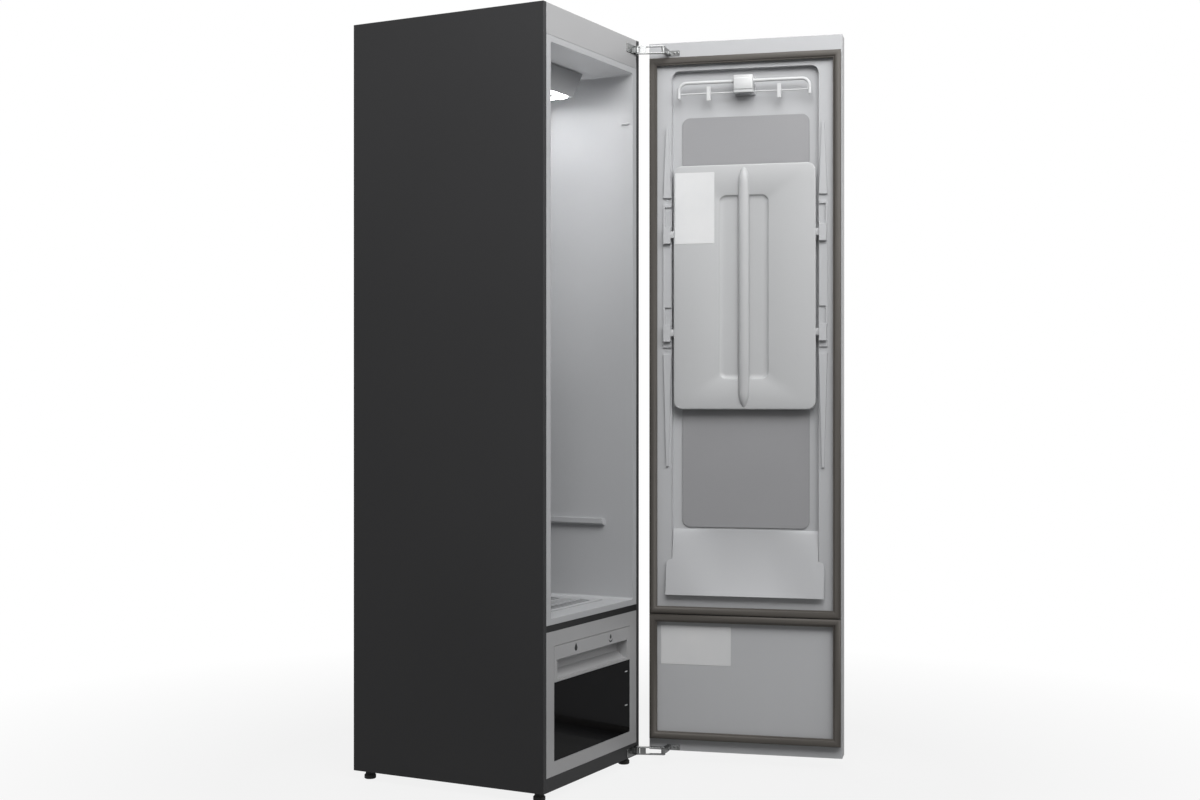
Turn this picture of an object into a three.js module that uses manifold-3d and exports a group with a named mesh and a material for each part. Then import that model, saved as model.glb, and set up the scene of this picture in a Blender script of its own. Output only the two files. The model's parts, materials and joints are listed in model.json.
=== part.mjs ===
// Clothes care steam cabinet with its door standing open, in millimetres, Z up.
// The cabinet's front plane is at Y 0 and its middle at X 0 while it is built; the finished group is then
// moved so that the middle of its whole footprint, open door included, stands on the origin.
import * as THREE from 'three';
import { mergeVertices } from 'three/addons/utils/BufferGeometryUtils.js';
import Module from 'manifold-3d';

const wasm = await Module();
wasm.setup();

// Overall sizes and general clearances
const cabinetWidth = 495;
const cabinetDepth = 535;
const cabinetHeight = 1850;
const footHeight = 22;
const steelSheet = 1;
const mouldedWall = 2.5;
const seatGap = 0.3;
const slideGap = 0.8;
const cutOverrun = 2;

// Facets round a turned body, by its size, and half the facets in a rounded corner of a pushed outline
const wheelSides = 24;
const postSides = 16;
const pinSides = 12;
const smallCornerSteps = 2;
const cornerSteps = 3;
const wideCornerSteps = 5;

// Front layout, from the floor up
const casingReturn = 14;
const rearReturn = 12;
const plinthHeight = 33;
const lowerFrameHeight = 337;
const bandHeight = 16;
const headerHeight = 73;
const faceThickness = 3;

// Treatment chamber
const chamber = {
  sideRim: 21,
  floorRim: 14.5,
  ceilingRim: 15,
  backSpace: 99,
  cornerRadius: 5,
  catchSetback: 10,
  catchLength: 21,
  catchHeight: 3,
  catchDepth: 5,
  catchDrop: 126,
  backVentHeight: 40,
  backVentDrop: 150,
};

// Grille and filter in the chamber floor
const grille = {
  sideMargin: 56,
  setback: 65,
  backMargin: 136,
  lip: 5,
  lipThickness: 2,
  bodyDrop: 4,
  border: 9,
  rows: 5,
  columns: 13,
  rib: 4.5,
  slantShare: 0.55,
};
const lintFilter = {
  drop: 22,
  inset: 7,
  wall: 2.5,
  ribs: 6,
  ribWidth: 2,
};

// Housing under the chamber ceiling, its light ring and the moving hanger rail
const housing = {
  setback: 118,
  drop: 67,
  sideMargin: 49,
  taper: 55,
  backMargin: 40,
  louvres: 7,
  louvreHeight: 3,
  louvreMargin: 26,
};
const lightRing = {
  edgeInset: 4,
  band: 15,
  backMargin: 69,
  thickness: 2.2,
  cornerRadius: 22,
};
const hangerRail = {
  endMargin: 94.5,
  height: 18,
  thickness: 9,
  drop: 44,
  stemWidth: 14,
  stemThickness: 9,
  headWidth: 40,
  headThickness: 20,
  headHeight: 6,
  notches: 5,
  notchWidth: 7,
  notchDepth: 6,
  travel: 20,
};
const hangerMotor = {
  radius: 24,
  height: 32,
  shoulder: 4,
  shaftRadius: 3,
  shaftRise: 9,
  flangeHalfLength: 34,
  flangeHalfWidth: 9,
  flangeThickness: 3,
};
const shelfLedge = {
  top: 626.5,
  height: 16.5,
  setback: 80,
  backMargin: 36,
  projection: 14,
  noseDrop: 4,
};

// Tank drawer
const drawer = {
  sideMargin: 38,
  bottom: 89.5,
  top: 356.4,
  windowTop: 272,
  windowThickness: 4,
  backingThickness: 3,
  backingRim: 20,
  boxSetback: 12,
  boxBackGap: 22,
  boxMargin: 8.7,
  boxTop: 250,
  rimWidth: 8,
  rimThickness: 3,
  wall: 2,
};
const pocket = {
  sideMargin: 13.7,
  bottom: 278,
  top: 324,
  depth: 30,
  floorRise: 17,
  lipDepth: 9,
  crownRise: 15,
};
const bay = {
  sideGap: 17.5,
  headroom: 4,
  machineDepth: 283,
  wall: 2,
};
const runner = {
  height: 11,
  setback: 34,
  endGap: 10,
};
const tank = {
  sideGap: 2,
  height: 146,
  wall: 2.5,
  capRadius: 20,
  capSetback: 52,
  cornerRadius: 14,
  gripWidth: 90,
  gripDepth: 14,
  gripHeight: 9,
};

// Base, rear cover and feet
const basePan = {
  thickness: 1.5,
  upstand: 28,
};
const rearCover = {
  top: 330,
  louvreRows: 9,
  louvreColumns: 3,
  louvreWidth: 100,
  louvreHeight: 6,
  louvrePitch: 18,
  louvreBottom: 120,
  glandRadius: 9,
  glandFlange: 13,
  glandHeight: 82,
  glandMargin: 62.5,
  glandLength: 16,
};
const foot = {
  sideInset: 30,
  endInset: 28,
  padRadius: 14.5,
  padHeight: 9,
  neckRadius: 11,
  studRadius: 4,
  studRise: 24,
};

// Parts inside the machine space
const compressor = {
  radius: 58,
  height: 178,
  sideMargin: 97.5,
  backMargin: 95,
  dome: 26,
  footRadius: 9,
  footHeight: 12,
  footSpread: 66,
  plateThickness: 3,
  accumulatorRadius: 17,
  accumulatorHeight: 110,
};
const coil = {
  besideCompressor: 90,
  rightMargin: 87.5,
  thickness: 42,
  height: 150,
  evaporatorSetback: 22,
  condenserSetback: 74,
  fins: 14,
  finShare: 0.45,
  headerThickness: 6,
  tubeRadius: 4,
  tubeRows: 3,
  bendRadius: 12,
  bendSides: 5,
  bendSteps: 8,
};
const blower = {
  sideMargin: 142.5,
  backMargin: 83,
  centreHeight: 118,
  scrollRadius: 84,
  width: 62,
  wheelRadius: 70,
  wheelWidth: 46,
  bladeLength: 13,
  bladeThickness: 2,
  blades: 16,
  bladeTilt: 35,
  hubRadius: 12,
  shaftRadius: 4,
  shaftLength: 60,
  intakeRadius: 46,
  outletHeight: 330,
  outletWidth: 62,
  wall: 2,
  scrollSteps: 14,
  legSpread: 36,
  legHalfWidth: 12,
};
const duct = {
  depth: 36,
  wall: 2,
};
const steamer = {
  sideMargin: 19.5,
  width: 104,
  setback: 18,
  depth: 84,
  height: 96,
  flange: 6,
  flangeHeight: 5,
  outletRadius: 8,
  outletHeight: 22,
  cornerRadius: 12,
};
const pump = {
  besideCompressor: 32,
  setback: 38,
  radius: 22,
  length: 60,
  footHeight: 8,
  nozzleRadius: 5,
  nozzleLength: 18,
};
const board = {
  halfWidth: 90,
  setback: 30,
  depth: 120,
  height: 26,
  thickness: 2,
  wall: 2,
  chips: 5,
  chipSizes: 3,
};

// Door: s runs from the hinge edge along the door, d from its inner face towards the cabinet
const door = {
  bottom: 28,
  thickness: 50,
  gap: 20,
  openDegrees: 104.25,
  outerThickness: 4,
  outerSheet: 1.2,
  frameWidth: 14,
  linerThickness: 2,
};
const recess = {
  sideMargin: 59,
  topMargin: 73,
  bottom: 430,
  depth: 18,
  radius: 21,
};
const boardPanel = {
  sideMargin: 84,
  bottom: 603,
  topInset: 120,
  thickness: 3,
  radius: 20,
};
const ridge = {
  outer: 37.5,
  inner: 58.5,
  rise: 6,
  upperGap: 16,
  upperLength: 182,
  lowerGap: 17,
  lowerLength: 288,
  tipWidth: 6,
};
const rail = {
  outer: 37,
  inner: 58,
  bottomDrop: 712,
  topDrop: 343,
  thickness: 4,
  windowInset: 5,
  upperWindowDrops: [401, 351],
  lowerWindowDrops: [653, 609],
};
const hook = {
  upperBottomDrop: 445,
  lowerBottomDrop: 697,
  height: 42,
  outer: 39,
  inner: 57.5,
  rise: 15,
  wall: 3,
  floor: 13,
};
const apron = {
  lip: 430,
  step: 521,
  top: 598,
  lipRise: 17,
  rimRise: 3.4,
  wideMargin: 45,
  narrowMargin: 60.5,
  thickness: 2.5,
  lipReturn: 7,
  steps: 10,
};
const gasket = {
  inset: 2.5,
  width: 20,
  baseWidth: 13,
  upperBottom: 380,
  topMargin: 40,
  lowerBottom: 59,
  lipShare: 0.62,
  grooveDepth: 2,
  splitGap: 0.8,
};
const cover = {
  sideMargin: 65.5,
  bottomDrop: 871,
  topDrop: 247,
  back: 3,
  thickness: 11,
  wall: 3,
  radius: 20,
  ribWidth: 29,
  ribRise: 11,
  ribPoint: 34,
  pocketHalfWidth: 62,
  pocketMargin: 79,
  pocketDepth: 3.5,
  pocketRadius: 17,
  tabHeight: 18,
};
const trouserHanger = {
  rodDrop: 36,
  rodRadius: 3.4,
  endMargin: 21.5,
  bendRadius: 20,
  endDrop: 40,
  wireDrop: 28,
  wireRadius: 1.5,
  rodSides: 8,
  rodSteps: 40,
  wireSides: 6,
  standoff: 16,
  blockWidth: 49,
  blockTopDrop: 22,
  blockBottomDrop: 67,
  blockBack: 6,
  blockFront: 27,
  blockStep: 2,
  blockStepHeight: 8,
  slotWidth: 26,
  slotDepth: 9,
  slotHeight: 30,
};
const clip = {
  width: 9.5,
  height: 36,
  offset: 90,
  thickness: 7,
  riseAboveWire: 17,
  jawGap: 1.4,
  spineHeight: 9,
};

// Folding hinges: a long forked link, a short link that folds into it, and three pivots each.
// The pivot on the door has a short slot, which takes up what the even turning leaves over
const hinge = {
  upperDrop: 27,
  lowerRise: 8,
  cabinetPivotInset: 22.7,
  cabinetStandoff: 7.6,
  doorPivotInset: 50,
  doorStandoff: 12.5,
  reach: 83.755,
  reachDegrees: -40.8165,
  longLength: 65.46,
  shortLength: 38.33,
  plateHalfHeight: 11,
  plateThickness: 1.5,
  plateLeft: 70,
  plateRight: 4,
  doorPlateNear: 45,
  doorPlateFar: 80,
  doorPlateHalfHeight: 7,
  channelHalfHeight: 10,
  channelSheet: 2.6,
  longHalfWidth: 5.4,
  spacerStart: 6.8,
  spacerEnd: 21.2,
  shortHalfHeight: 6.8,
  shortHalfWidth: 5,
  forkHalfGap: 3.4,
  forkDepth: 8,
  doorKnuckleHalfHeight: 3,
  knuckleRadius: 5,
  pinRadius: 2.2,
  pinClearance: 0.3,
  slotTravel: 1.3,
  slotClearance: 0.5,
  screwRadius: 3,
};

// Places worked out from the sizes above
const halfWidth = cabinetWidth / 2;
const plinthTop = footHeight + plinthHeight;
const lowerFrameTop = plinthTop + lowerFrameHeight;
const bandTop = lowerFrameTop + bandHeight;
const headerBottom = cabinetHeight - headerHeight;
const faceHalfWidth = halfWidth - casingReturn - seatGap;
const chamberHalfWidth = halfWidth - casingReturn - chamber.sideRim;
const chamberFloor = bandTop + chamber.floorRim;
const chamberCeiling = headerBottom - chamber.ceilingRim;
const chamberDepth = cabinetDepth - chamber.backSpace;
const chamberTubHalfWidth = chamberHalfWidth + mouldedWall;
const housingBottom = chamberCeiling - housing.drop;
const housingDepth = chamberDepth - housing.backMargin - housing.setback;
const housingTopHalfWidth = chamberHalfWidth - housing.sideMargin;
const housingBottomHalfWidth = housingTopHalfWidth - housing.taper;
const lightRingLength = housingDepth - lightRing.edgeInset - lightRing.backMargin;
const railSetback = housing.setback + lightRing.edgeInset + lightRingLength / 2;
const railHalfLength = chamberHalfWidth - hangerRail.endMargin;
const grilleHalfWidth = chamberHalfWidth - grille.sideMargin;
const grilleBack = chamberDepth - grille.backMargin;
const floorUnderside = chamberFloor - mouldedWall;
const glandX = -halfWidth + rearCover.glandMargin;
const panFloor = footHeight + basePan.thickness;
const rearInside = cabinetDepth - steelSheet;
const drawerHalfWidth = faceHalfWidth - drawer.sideMargin;
const boxHalfWidth = drawerHalfWidth - drawer.boxMargin;
const pocketHalfWidth = drawerHalfWidth - pocket.sideMargin;
const bayHalfWidth = boxHalfWidth + bay.sideGap;
const bayDepth = cabinetDepth - bay.machineDepth;
const boxDepth = bayDepth - drawer.boxBackGap;
const bayBottom = drawer.bottom - bay.headroom;
const bayTop = drawer.top + bay.headroom;
const compressorSide = -halfWidth + compressor.sideMargin;
const compressorSetback = cabinetDepth - compressor.backMargin;
const coilLeft = compressorSide + coil.besideCompressor;
const coilRight = halfWidth - coil.rightMargin;
const blowerSide = halfWidth - blower.sideMargin;
const blowerSetback = cabinetDepth - blower.backMargin;
const steamerLeft = -halfWidth + steamer.sideMargin;
const steamerSetback = bayDepth + steamer.setback;
const pumpLeft = compressorSide + pump.besideCompressor;
const pumpSetback = bayDepth + pump.setback;
const ductRight = blowerSide + blower.scrollRadius;
const ductLeft = ductRight - blower.outletWidth;
const doorHeight = cabinetHeight - door.bottom;
const recessTop = cabinetHeight - recess.topMargin;
const railBottom = recessTop - rail.bottomDrop;
const railTop = recessTop - rail.topDrop;
const cupBottoms = [recessTop - hook.upperBottomDrop, recessTop - hook.lowerBottomDrop];
const coverBottom = recessTop - cover.bottomDrop;
const coverTop = recessTop - cover.topDrop;
const rodHeight = recessTop - trouserHanger.rodDrop;
const hangerHalfSpan = cabinetWidth / 2 - recess.sideMargin - trouserHanger.endMargin;
const blockTop = recessTop - trouserHanger.blockTopDrop;
const blockBottom = recessTop - trouserHanger.blockBottomDrop;
const cupBack = seatGap + rail.thickness + slideGap;
const cupFront = hook.rise - hook.wall;

// Materials, as plain paint, plastic, rubber, glass and metal colours
function material(color, roughness, metalness = 0) {
  return new THREE.MeshStandardMaterial({ color, roughness, metalness });
}

const finishes = {
  anthracite: () => material(0x343536, 0.55, 0.2),
  lightGrey: () => material(0xb4b5b8, 0.5),
  liner: () => material(0xc2c3c6, 0.45),
  darkBand: () => material(0x232324, 0.5),
  blackGloss: () => material(0x0c0c0d, 0.08),
  gasket: () => material(0x6d655e, 0.8),
  white: () => material(0xd9dadc, 0.4),
  chrome: () => material(0xc9cacc, 0.2, 1),
  steel: () => material(0x9a9c9f, 0.4, 1),
  rubber: () => material(0x161616, 0.85),
  led: () => material(0xffffff, 0.3),
  copper: () => material(0xb87333, 0.35, 1),
  tank: () => material(0x8d9298, 0.25),
  circuit: () => material(0x2f5d3a, 0.6),
  foam: () => material(0xe6e3da, 0.9),
};

// Solids: a geometry becomes a solid for joins and cuts, and goes back to a geometry
function solid(geometry) {
  const bare = geometry.clone();
  bare.deleteAttribute('normal');
  bare.deleteAttribute('uv');
  const merged = mergeVertices(bare);
  const index = [];
  for (let i = 0; i < merged.index.count; i += 3) {
    const [a, b, c] = [merged.index.getX(i), merged.index.getX(i + 1), merged.index.getX(i + 2)];
    if (a !== b && b !== c && a !== c) index.push(a, b, c);
  }
  return new wasm.Manifold(new wasm.Mesh({
    numProp: 3,
    vertProperties: new Float32Array(merged.attributes.position.array),
    triVerts: new Uint32Array(index),
  }));
}

function geometryOf(body) {
  const mesh = body.getMesh();
  const geometry = new THREE.BufferGeometry();
  geometry.setAttribute('position', new THREE.BufferAttribute(new Float32Array(mesh.vertProperties), 3));
  geometry.setIndex(new THREE.BufferAttribute(new Uint32Array(mesh.triVerts), 1));
  geometry.computeVertexNormals();
  return geometry;
}

function join(...bodies) {
  return bodies.flat().reduce((all, body) => all.add(body));
}

function cut(body, ...tools) {
  return tools.flat().reduce((left, tool) => left.subtract(tool), body);
}

// Basic shapes: a box between two corners, and outlines pushed along one axis
function block(x0, x1, y0, y1, z0, z1) {
  const geometry = new THREE.BoxGeometry(x1 - x0, y1 - y0, z1 - z0);
  geometry.translate((x0 + x1) / 2, (y0 + y1) / 2, (z0 + z1) / 2);
  return solid(geometry);
}

function outline(points) {
  const shape = new THREE.Shape();
  points.forEach(([a, b], i) => (i ? shape.lineTo(a, b) : shape.moveTo(a, b)));
  shape.closePath();
  return shape;
}

function roundedOutline(a0, a1, b0, b1, radius) {
  const shape = new THREE.Shape();
  shape.absarc(a1 - radius, b0 + radius, radius, -Math.PI / 2, 0);
  shape.absarc(a1 - radius, b1 - radius, radius, 0, Math.PI / 2);
  shape.absarc(a0 + radius, b1 - radius, radius, Math.PI / 2, Math.PI);
  shape.absarc(a0 + radius, b0 + radius, radius, Math.PI, Math.PI * 1.5);
  shape.closePath();
  return shape;
}

function pushed(shape, length, steps = cornerSteps) {
  return new THREE.ExtrudeGeometry(shape, { depth: length, bevelEnabled: false, curveSegments: steps });
}

// An outline in X and Z, pushed back along Y from yFront
function frontSolid(shape, yFront, thickness, steps) {
  const geometry = pushed(shape, thickness, steps);
  geometry.rotateX(Math.PI / 2);
  geometry.translate(0, yFront + thickness, 0);
  return solid(geometry);
}

// An outline in Y and Z, pushed along X from xStart
function sideSolid(shape, xStart, length, steps) {
  const geometry = pushed(shape, length, steps);
  const turn = new THREE.Matrix4();
  turn.makeBasis(new THREE.Vector3(0, 1, 0), new THREE.Vector3(0, 0, 1), new THREE.Vector3(1, 0, 0));
  geometry.applyMatrix4(turn);
  geometry.translate(xStart, 0, 0);
  return solid(geometry);
}

// An outline in X and Y, pushed up along Z from zStart
function planSolid(shape, zStart, height, steps) {
  const geometry = pushed(shape, height, steps);
  geometry.translate(0, 0, zStart);
  return solid(geometry);
}

// A turned body on a Z axis, from [radius, height] points that start and end on the axis
function turned(points, x, y, z, sides) {
  const geometry = new THREE.LatheGeometry(points.map(([r, h]) => new THREE.Vector2(r, h)), sides);
  geometry.rotateX(Math.PI / 2);
  geometry.translate(x, y, z);
  return solid(geometry);
}

function post(radius, x, y, z0, z1, sides) {
  return turned([[0, 0], [radius, 0], [radius, z1 - z0], [0, z1 - z0]], x, y, z0, sides);
}

// The same turned body with its axis along Y, from yStart towards the back
function turnedAlongY(points, x, z, yStart, sides) {
  const geometry = new THREE.LatheGeometry(points.map(([r, h]) => new THREE.Vector2(r, h)), sides);
  geometry.translate(x, yStart, z);
  return solid(geometry);
}

function rodAlongY(radius, x, z, y0, y1, sides) {
  return turnedAlongY([[0, 0], [radius, 0], [radius, y1 - y0], [0, y1 - y0]], x, z, y0, sides);
}

function mirroredX(body) {
  return body.mirror([1, 0, 0]);
}

// The finished groups and the helper that names a piece and hangs it in its group
const model = new THREE.Group();
const openDoor = new THREE.Group();
model.add(openDoor);

function place(group, name, body, finish) {
  const mesh = new THREE.Mesh(geometryOf(body), finishes[finish]());
  mesh.name = name;
  group.add(mesh);
}

// Casing: two folded sides, a top, a two-part back, a base pan and a plinth
function sidePanel() {
  const outer = halfWidth;
  const inner = halfWidth - steelSheet;
  const shape = outline([
    [outer - casingReturn, 0],
    [outer, 0],
    [outer, cabinetDepth],
    [outer - rearReturn, cabinetDepth],
    [outer - rearReturn, rearInside],
    [inner, rearInside],
    [inner, steelSheet],
    [outer - casingReturn, steelSheet],
  ]);
  return planSolid(shape, footHeight, cabinetHeight - footHeight);
}

function topPanel() {
  const edge = halfWidth - steelSheet - seatGap;
  const front = faceThickness + seatGap;
  const back = rearInside - seatGap;
  const hem = casingReturn;
  const sheet = block(-edge, edge, front, back, cabinetHeight - steelSheet, cabinetHeight);
  const hems = [-edge, edge - steelSheet].map((x) => (
    block(x, x + steelSheet, front, back, cabinetHeight - hem, cabinetHeight)
  ));
  return join(sheet, hems);
}

function rearPanel() {
  const edge = halfWidth - rearReturn - seatGap;
  const bottom = rearCover.top + seatGap;
  const sheet = block(-edge, edge, rearInside, cabinetDepth, bottom, cabinetHeight);
  const creases = [-1, 1].map((side) => {
    const middle = side * edge / 2;
    const inset = edge / 4;
    return block(
      middle - inset, middle + inset,
      rearInside - steelSheet, rearInside,
      bottom + inset, cabinetHeight - inset - headerHeight,
    );
  });
  return join(sheet, creases);
}

function rearServiceCover() {
  const edge = halfWidth - rearReturn - seatGap;
  const sheet = block(-edge, edge, rearInside, cabinetDepth, footHeight, rearCover.top);
  const slots = [];
  const spread = 2 * edge / rearCover.louvreColumns;
  for (let row = 0; row < rearCover.louvreRows; row += 1) {
    for (let column = 0; column < rearCover.louvreColumns; column += 1) {
      const x = -edge + (column + 0.5) * spread;
      const z = rearCover.louvreBottom + row * rearCover.louvrePitch;
      slots.push(block(
        x - rearCover.louvreWidth / 2, x + rearCover.louvreWidth / 2,
        rearInside - cutOverrun, cabinetDepth + cutOverrun,
        z, z + rearCover.louvreHeight,
      ));
    }
  }
  const glandHole = rodAlongY(
    rearCover.glandRadius, glandX, rearCover.glandHeight,
    rearInside - cutOverrun, cabinetDepth + cutOverrun, postSides,
  );
  return cut(sheet, slots, glandHole);
}

function mainsGland() {
  const radius = rearCover.glandRadius - seatGap;
  const bore = radius / 2;
  const inside = rearCover.glandLength / 2;
  const outside = cabinetDepth - rearInside - steelSheet / 2;
  const body = turnedAlongY([
    [bore, 0],
    [rearCover.glandFlange, 0],
    [rearCover.glandFlange, inside - seatGap],
    [radius, inside - seatGap],
    [radius, inside + steelSheet / 2 + outside],
    [bore, inside + steelSheet / 2 + outside],
    [bore, 0],
  ], glandX, rearCover.glandHeight, rearInside - inside, postSides);
  return body;
}

function basePanBody() {
  const edge = halfWidth - steelSheet - seatGap;
  const front = faceThickness + seatGap;
  const back = rearInside - seatGap;
  const t = basePan.thickness;
  const outer = block(-edge, edge, front, back, footHeight, footHeight + basePan.upstand);
  const rim = footHeight + basePan.upstand;
  const inner = block(-edge + t, edge - t, front + t, back - t, panFloor, rim + cutOverrun);
  const holes = footPlaces().map(([x, y]) => (
    post(foot.studRadius + slideGap, x, y, footHeight - cutOverrun, panFloor + cutOverrun, postSides)
  ));
  return cut(outer, inner, holes);
}

function plinth() {
  const shape = outline([
    [0, footHeight],
    [faceThickness, footHeight],
    [faceThickness, plinthTop - seatGap],
    [0, plinthTop - seatGap],
  ]);
  return sideSolid(shape, -faceHalfWidth, 2 * faceHalfWidth);
}

function frontHeader() {
  const bottom = headerBottom + seatGap;
  const face = block(-faceHalfWidth, faceHalfWidth, 0, faceThickness, bottom, cabinetHeight);
  const ledge = block(
    -faceHalfWidth, faceHalfWidth,
    faceThickness, faceThickness + casingReturn,
    bottom, bottom + faceThickness,
  );
  return join(face, ledge);
}

function dividerBand() {
  const recessed = steelSheet / 2;
  return block(
    -faceHalfWidth, faceHalfWidth,
    recessed, faceThickness + casingReturn,
    lowerFrameTop + seatGap, bandTop - seatGap,
  );
}

// Feet that screw down out of the base pan
function footPlaces() {
  const x = halfWidth - foot.sideInset;
  return [
    [-x, foot.endInset],
    [x, foot.endInset],
    [-x, cabinetDepth - foot.endInset],
    [x, cabinetDepth - foot.endInset],
  ];
}

function levellingFoot([x, y]) {
  const shoulder = footHeight - seatGap;
  const chamfer = foot.padRadius - foot.neckRadius;
  const top = footHeight + foot.studRise;
  return turned([
    [0, 0],
    [foot.padRadius - chamfer / 2, 0],
    [foot.padRadius, chamfer / 2],
    [foot.padRadius, foot.padHeight],
    [foot.neckRadius, foot.padHeight + chamfer],
    [foot.neckRadius, shoulder],
    [foot.studRadius, shoulder],
    [foot.studRadius, top],
    [0, top],
  ], x, y, 0, postSides);
}

// Moulded chamber tub with its front flange, floor opening, rear vents and wall catches
function chamberLiner() {
  const flangeTop = headerBottom;
  const flangeShape = outline([
    [-faceHalfWidth, bandTop],
    [faceHalfWidth, bandTop],
    [faceHalfWidth, flangeTop],
    [-faceHalfWidth, flangeTop],
  ]);
  const flange = frontSolid(flangeShape, 0, faceThickness);
  const tub = block(
    -chamberTubHalfWidth, chamberTubHalfWidth,
    0, chamberDepth + mouldedWall,
    floorUnderside, chamberCeiling + mouldedWall,
  );
  const hollow = frontSolid(
    roundedOutline(-chamberHalfWidth, chamberHalfWidth, chamberFloor, chamberCeiling, chamber.cornerRadius),
    -cutOverrun, chamberDepth + cutOverrun,
  );
  const floorHole = block(
    -grilleHalfWidth, grilleHalfWidth,
    grille.setback, grilleBack,
    floorUnderside - cutOverrun, chamberFloor + cutOverrun,
  );
  const backVent = block(
    ductLeft + duct.wall, ductRight - duct.wall,
    chamberDepth - cutOverrun, chamberDepth + mouldedWall + cutOverrun,
    chamberCeiling - chamber.backVentDrop - chamber.backVentHeight, chamberCeiling - chamber.backVentDrop,
  );
  const catchTop = chamberCeiling - chamber.catchDrop;
  const wallCatch = block(
    chamberHalfWidth - chamber.catchDepth, chamberHalfWidth + mouldedWall / 2,
    chamber.catchSetback, chamber.catchSetback + chamber.catchLength,
    catchTop - chamber.catchHeight, catchTop,
  );
  const opened = cut(join(flange, tub), hollow, floorHole, backVent);
  return join(opened, wallCatch, mirroredX(wallCatch), shelfLedges());
}

function insulation() {
  const outer = halfWidth - steelSheet - seatGap;
  const inner = chamberTubHalfWidth + seatGap;
  const front = faceThickness + seatGap;
  const back = chamberDepth + mouldedWall;
  const bottom = bandTop + seatGap;
  const top = chamberCeiling + mouldedWall;
  const left = block(-outer, -inner, front, back, bottom, top);
  return join(left, mirroredX(left), roofInsulation(outer, front, back, top));
}

// The roof slab of foam joins the two side slabs over the tub, behind the header's ledge
function roofInsulation(outer, front, back, top) {
  const clearOfLedge = faceThickness + casingReturn + seatGap;
  const slab = block(-outer, outer, clearOfLedge, back, top + seatGap, headerBottom + faceThickness);
  const inner = chamberTubHalfWidth + seatGap;
  const ears = block(-outer, -inner, clearOfLedge, back, top - cutOverrun, headerBottom);
  return join(slab, ears, mirroredX(ears));
}

// Floor grille: a herringbone of slanted slots in a rimmed plate, with the filter tray below it
function floorGrille() {
  const edge = grilleHalfWidth - slideGap;
  const front = grille.setback + slideGap;
  const back = grilleBack - slideGap;
  const lipBottom = chamberFloor + seatGap;
  const lip = block(
    -edge - grille.lip, edge + grille.lip, front - grille.lip, back + grille.lip,
    lipBottom, lipBottom + grille.lipThickness,
  );
  const lipTop = lipBottom + grille.lipThickness;
  const body = block(-edge, edge, front, back, lipBottom - grille.bodyDrop, lipTop);
  const slots = [];
  const usableWidth = 2 * (edge - grille.border);
  const usableDepth = back - front - 2 * grille.border;
  const pitchX = usableWidth / (grille.columns + grille.slantShare);
  const pitchY = usableDepth / grille.rows;
  for (let row = 0; row < grille.rows; row += 1) {
    const slant = pitchX * grille.slantShare;
    const forward = row % 2 === 0;
    for (let column = 0; column < grille.columns; column += 1) {
      const x = -edge + grille.border + column * pitchX;
      const y = front + grille.border + row * pitchY + grille.rib / 2;
      const near = forward ? 0 : slant;
      const far = forward ? slant : 0;
      const wide = pitchX - grille.rib;
      const deep = pitchY - grille.rib;
      const corners = [[near, 0], [near + wide, 0], [far + wide, deep], [far, deep]];
      slots.push(outline(corners.map(([a, b]) => [x + a, y + b])));
    }
  }
  const drillStart = lipBottom - grille.bodyDrop - cutOverrun;
  const drillLength = grille.bodyDrop + grille.lipThickness + 2 * cutOverrun;
  const drill = slots.map((slot) => planSolid(slot, drillStart, drillLength));
  return cut(join(lip, body), join(drill));
}

function lintFilterTray() {
  const edge = grilleHalfWidth - lintFilter.inset;
  const front = grille.setback + lintFilter.inset;
  const back = grilleBack - lintFilter.inset;
  const top = chamberFloor - grille.bodyDrop;
  const bottom = top - lintFilter.drop;
  const w = lintFilter.wall;
  const frame = cut(
    block(-edge, edge, front, back, bottom, top),
    block(-edge + w, edge - w, front + w, back - w, bottom - cutOverrun, top + cutOverrun),
  );
  const screen = block(-edge + w / 2, edge - w / 2, front + w / 2, back - w / 2, bottom, bottom + w / 2);
  const bars = [];
  for (let i = 1; i < lintFilter.ribs; i += 1) {
    const x = -edge + (i * 2 * edge) / lintFilter.ribs;
    bars.push(block(
      x - lintFilter.ribWidth / 2, x + lintFilter.ribWidth / 2,
      front + w / 2, back - w / 2,
      bottom + w / 4, bottom + lintFilter.drop / 3,
    ));
  }
  return join(frame, screen, bars);
}

// Plenum that carries the filter tray and leads the air back to the heat exchanger
function intakePlenum() {
  const edge = grilleHalfWidth + mouldedWall;
  const front = grille.setback - mouldedWall;
  const top = floorUnderside - seatGap;
  const bottom = bayTop + bay.wall + 2 * seatGap;
  const back = grilleBack + mouldedWall;
  const shell = block(-edge, edge, front, back, bottom, top);
  const hollow = block(
    -edge + mouldedWall, edge - mouldedWall,
    front + mouldedWall, back - mouldedWall,
    bottom + mouldedWall, top + cutOverrun,
  );
  const drain = block(
    coilLeft + mouldedWall, edge - 2 * mouldedWall,
    bayDepth + 2 * mouldedWall, back - 2 * mouldedWall,
    bottom - cutOverrun, bottom + mouldedWall + cutOverrun,
  );
  return cut(shell, hollow, drain);
}

// Tapered housing under the ceiling, open on top against it, with its light ring and hanger rail
function taperedOutline(inset) {
  const lower = housingBottom + inset;
  const upper = chamberCeiling - seatGap + (inset ? cutOverrun : 0);
  const lean = (housingTopHalfWidth - housingBottomHalfWidth) / housing.drop;
  const bottomEdge = housingBottomHalfWidth - inset + inset * lean;
  const topEdge = bottomEdge + (upper - lower) * lean;
  return outline([[-bottomEdge, lower], [bottomEdge, lower], [topEdge, upper], [-topEdge, upper]]);
}

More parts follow.
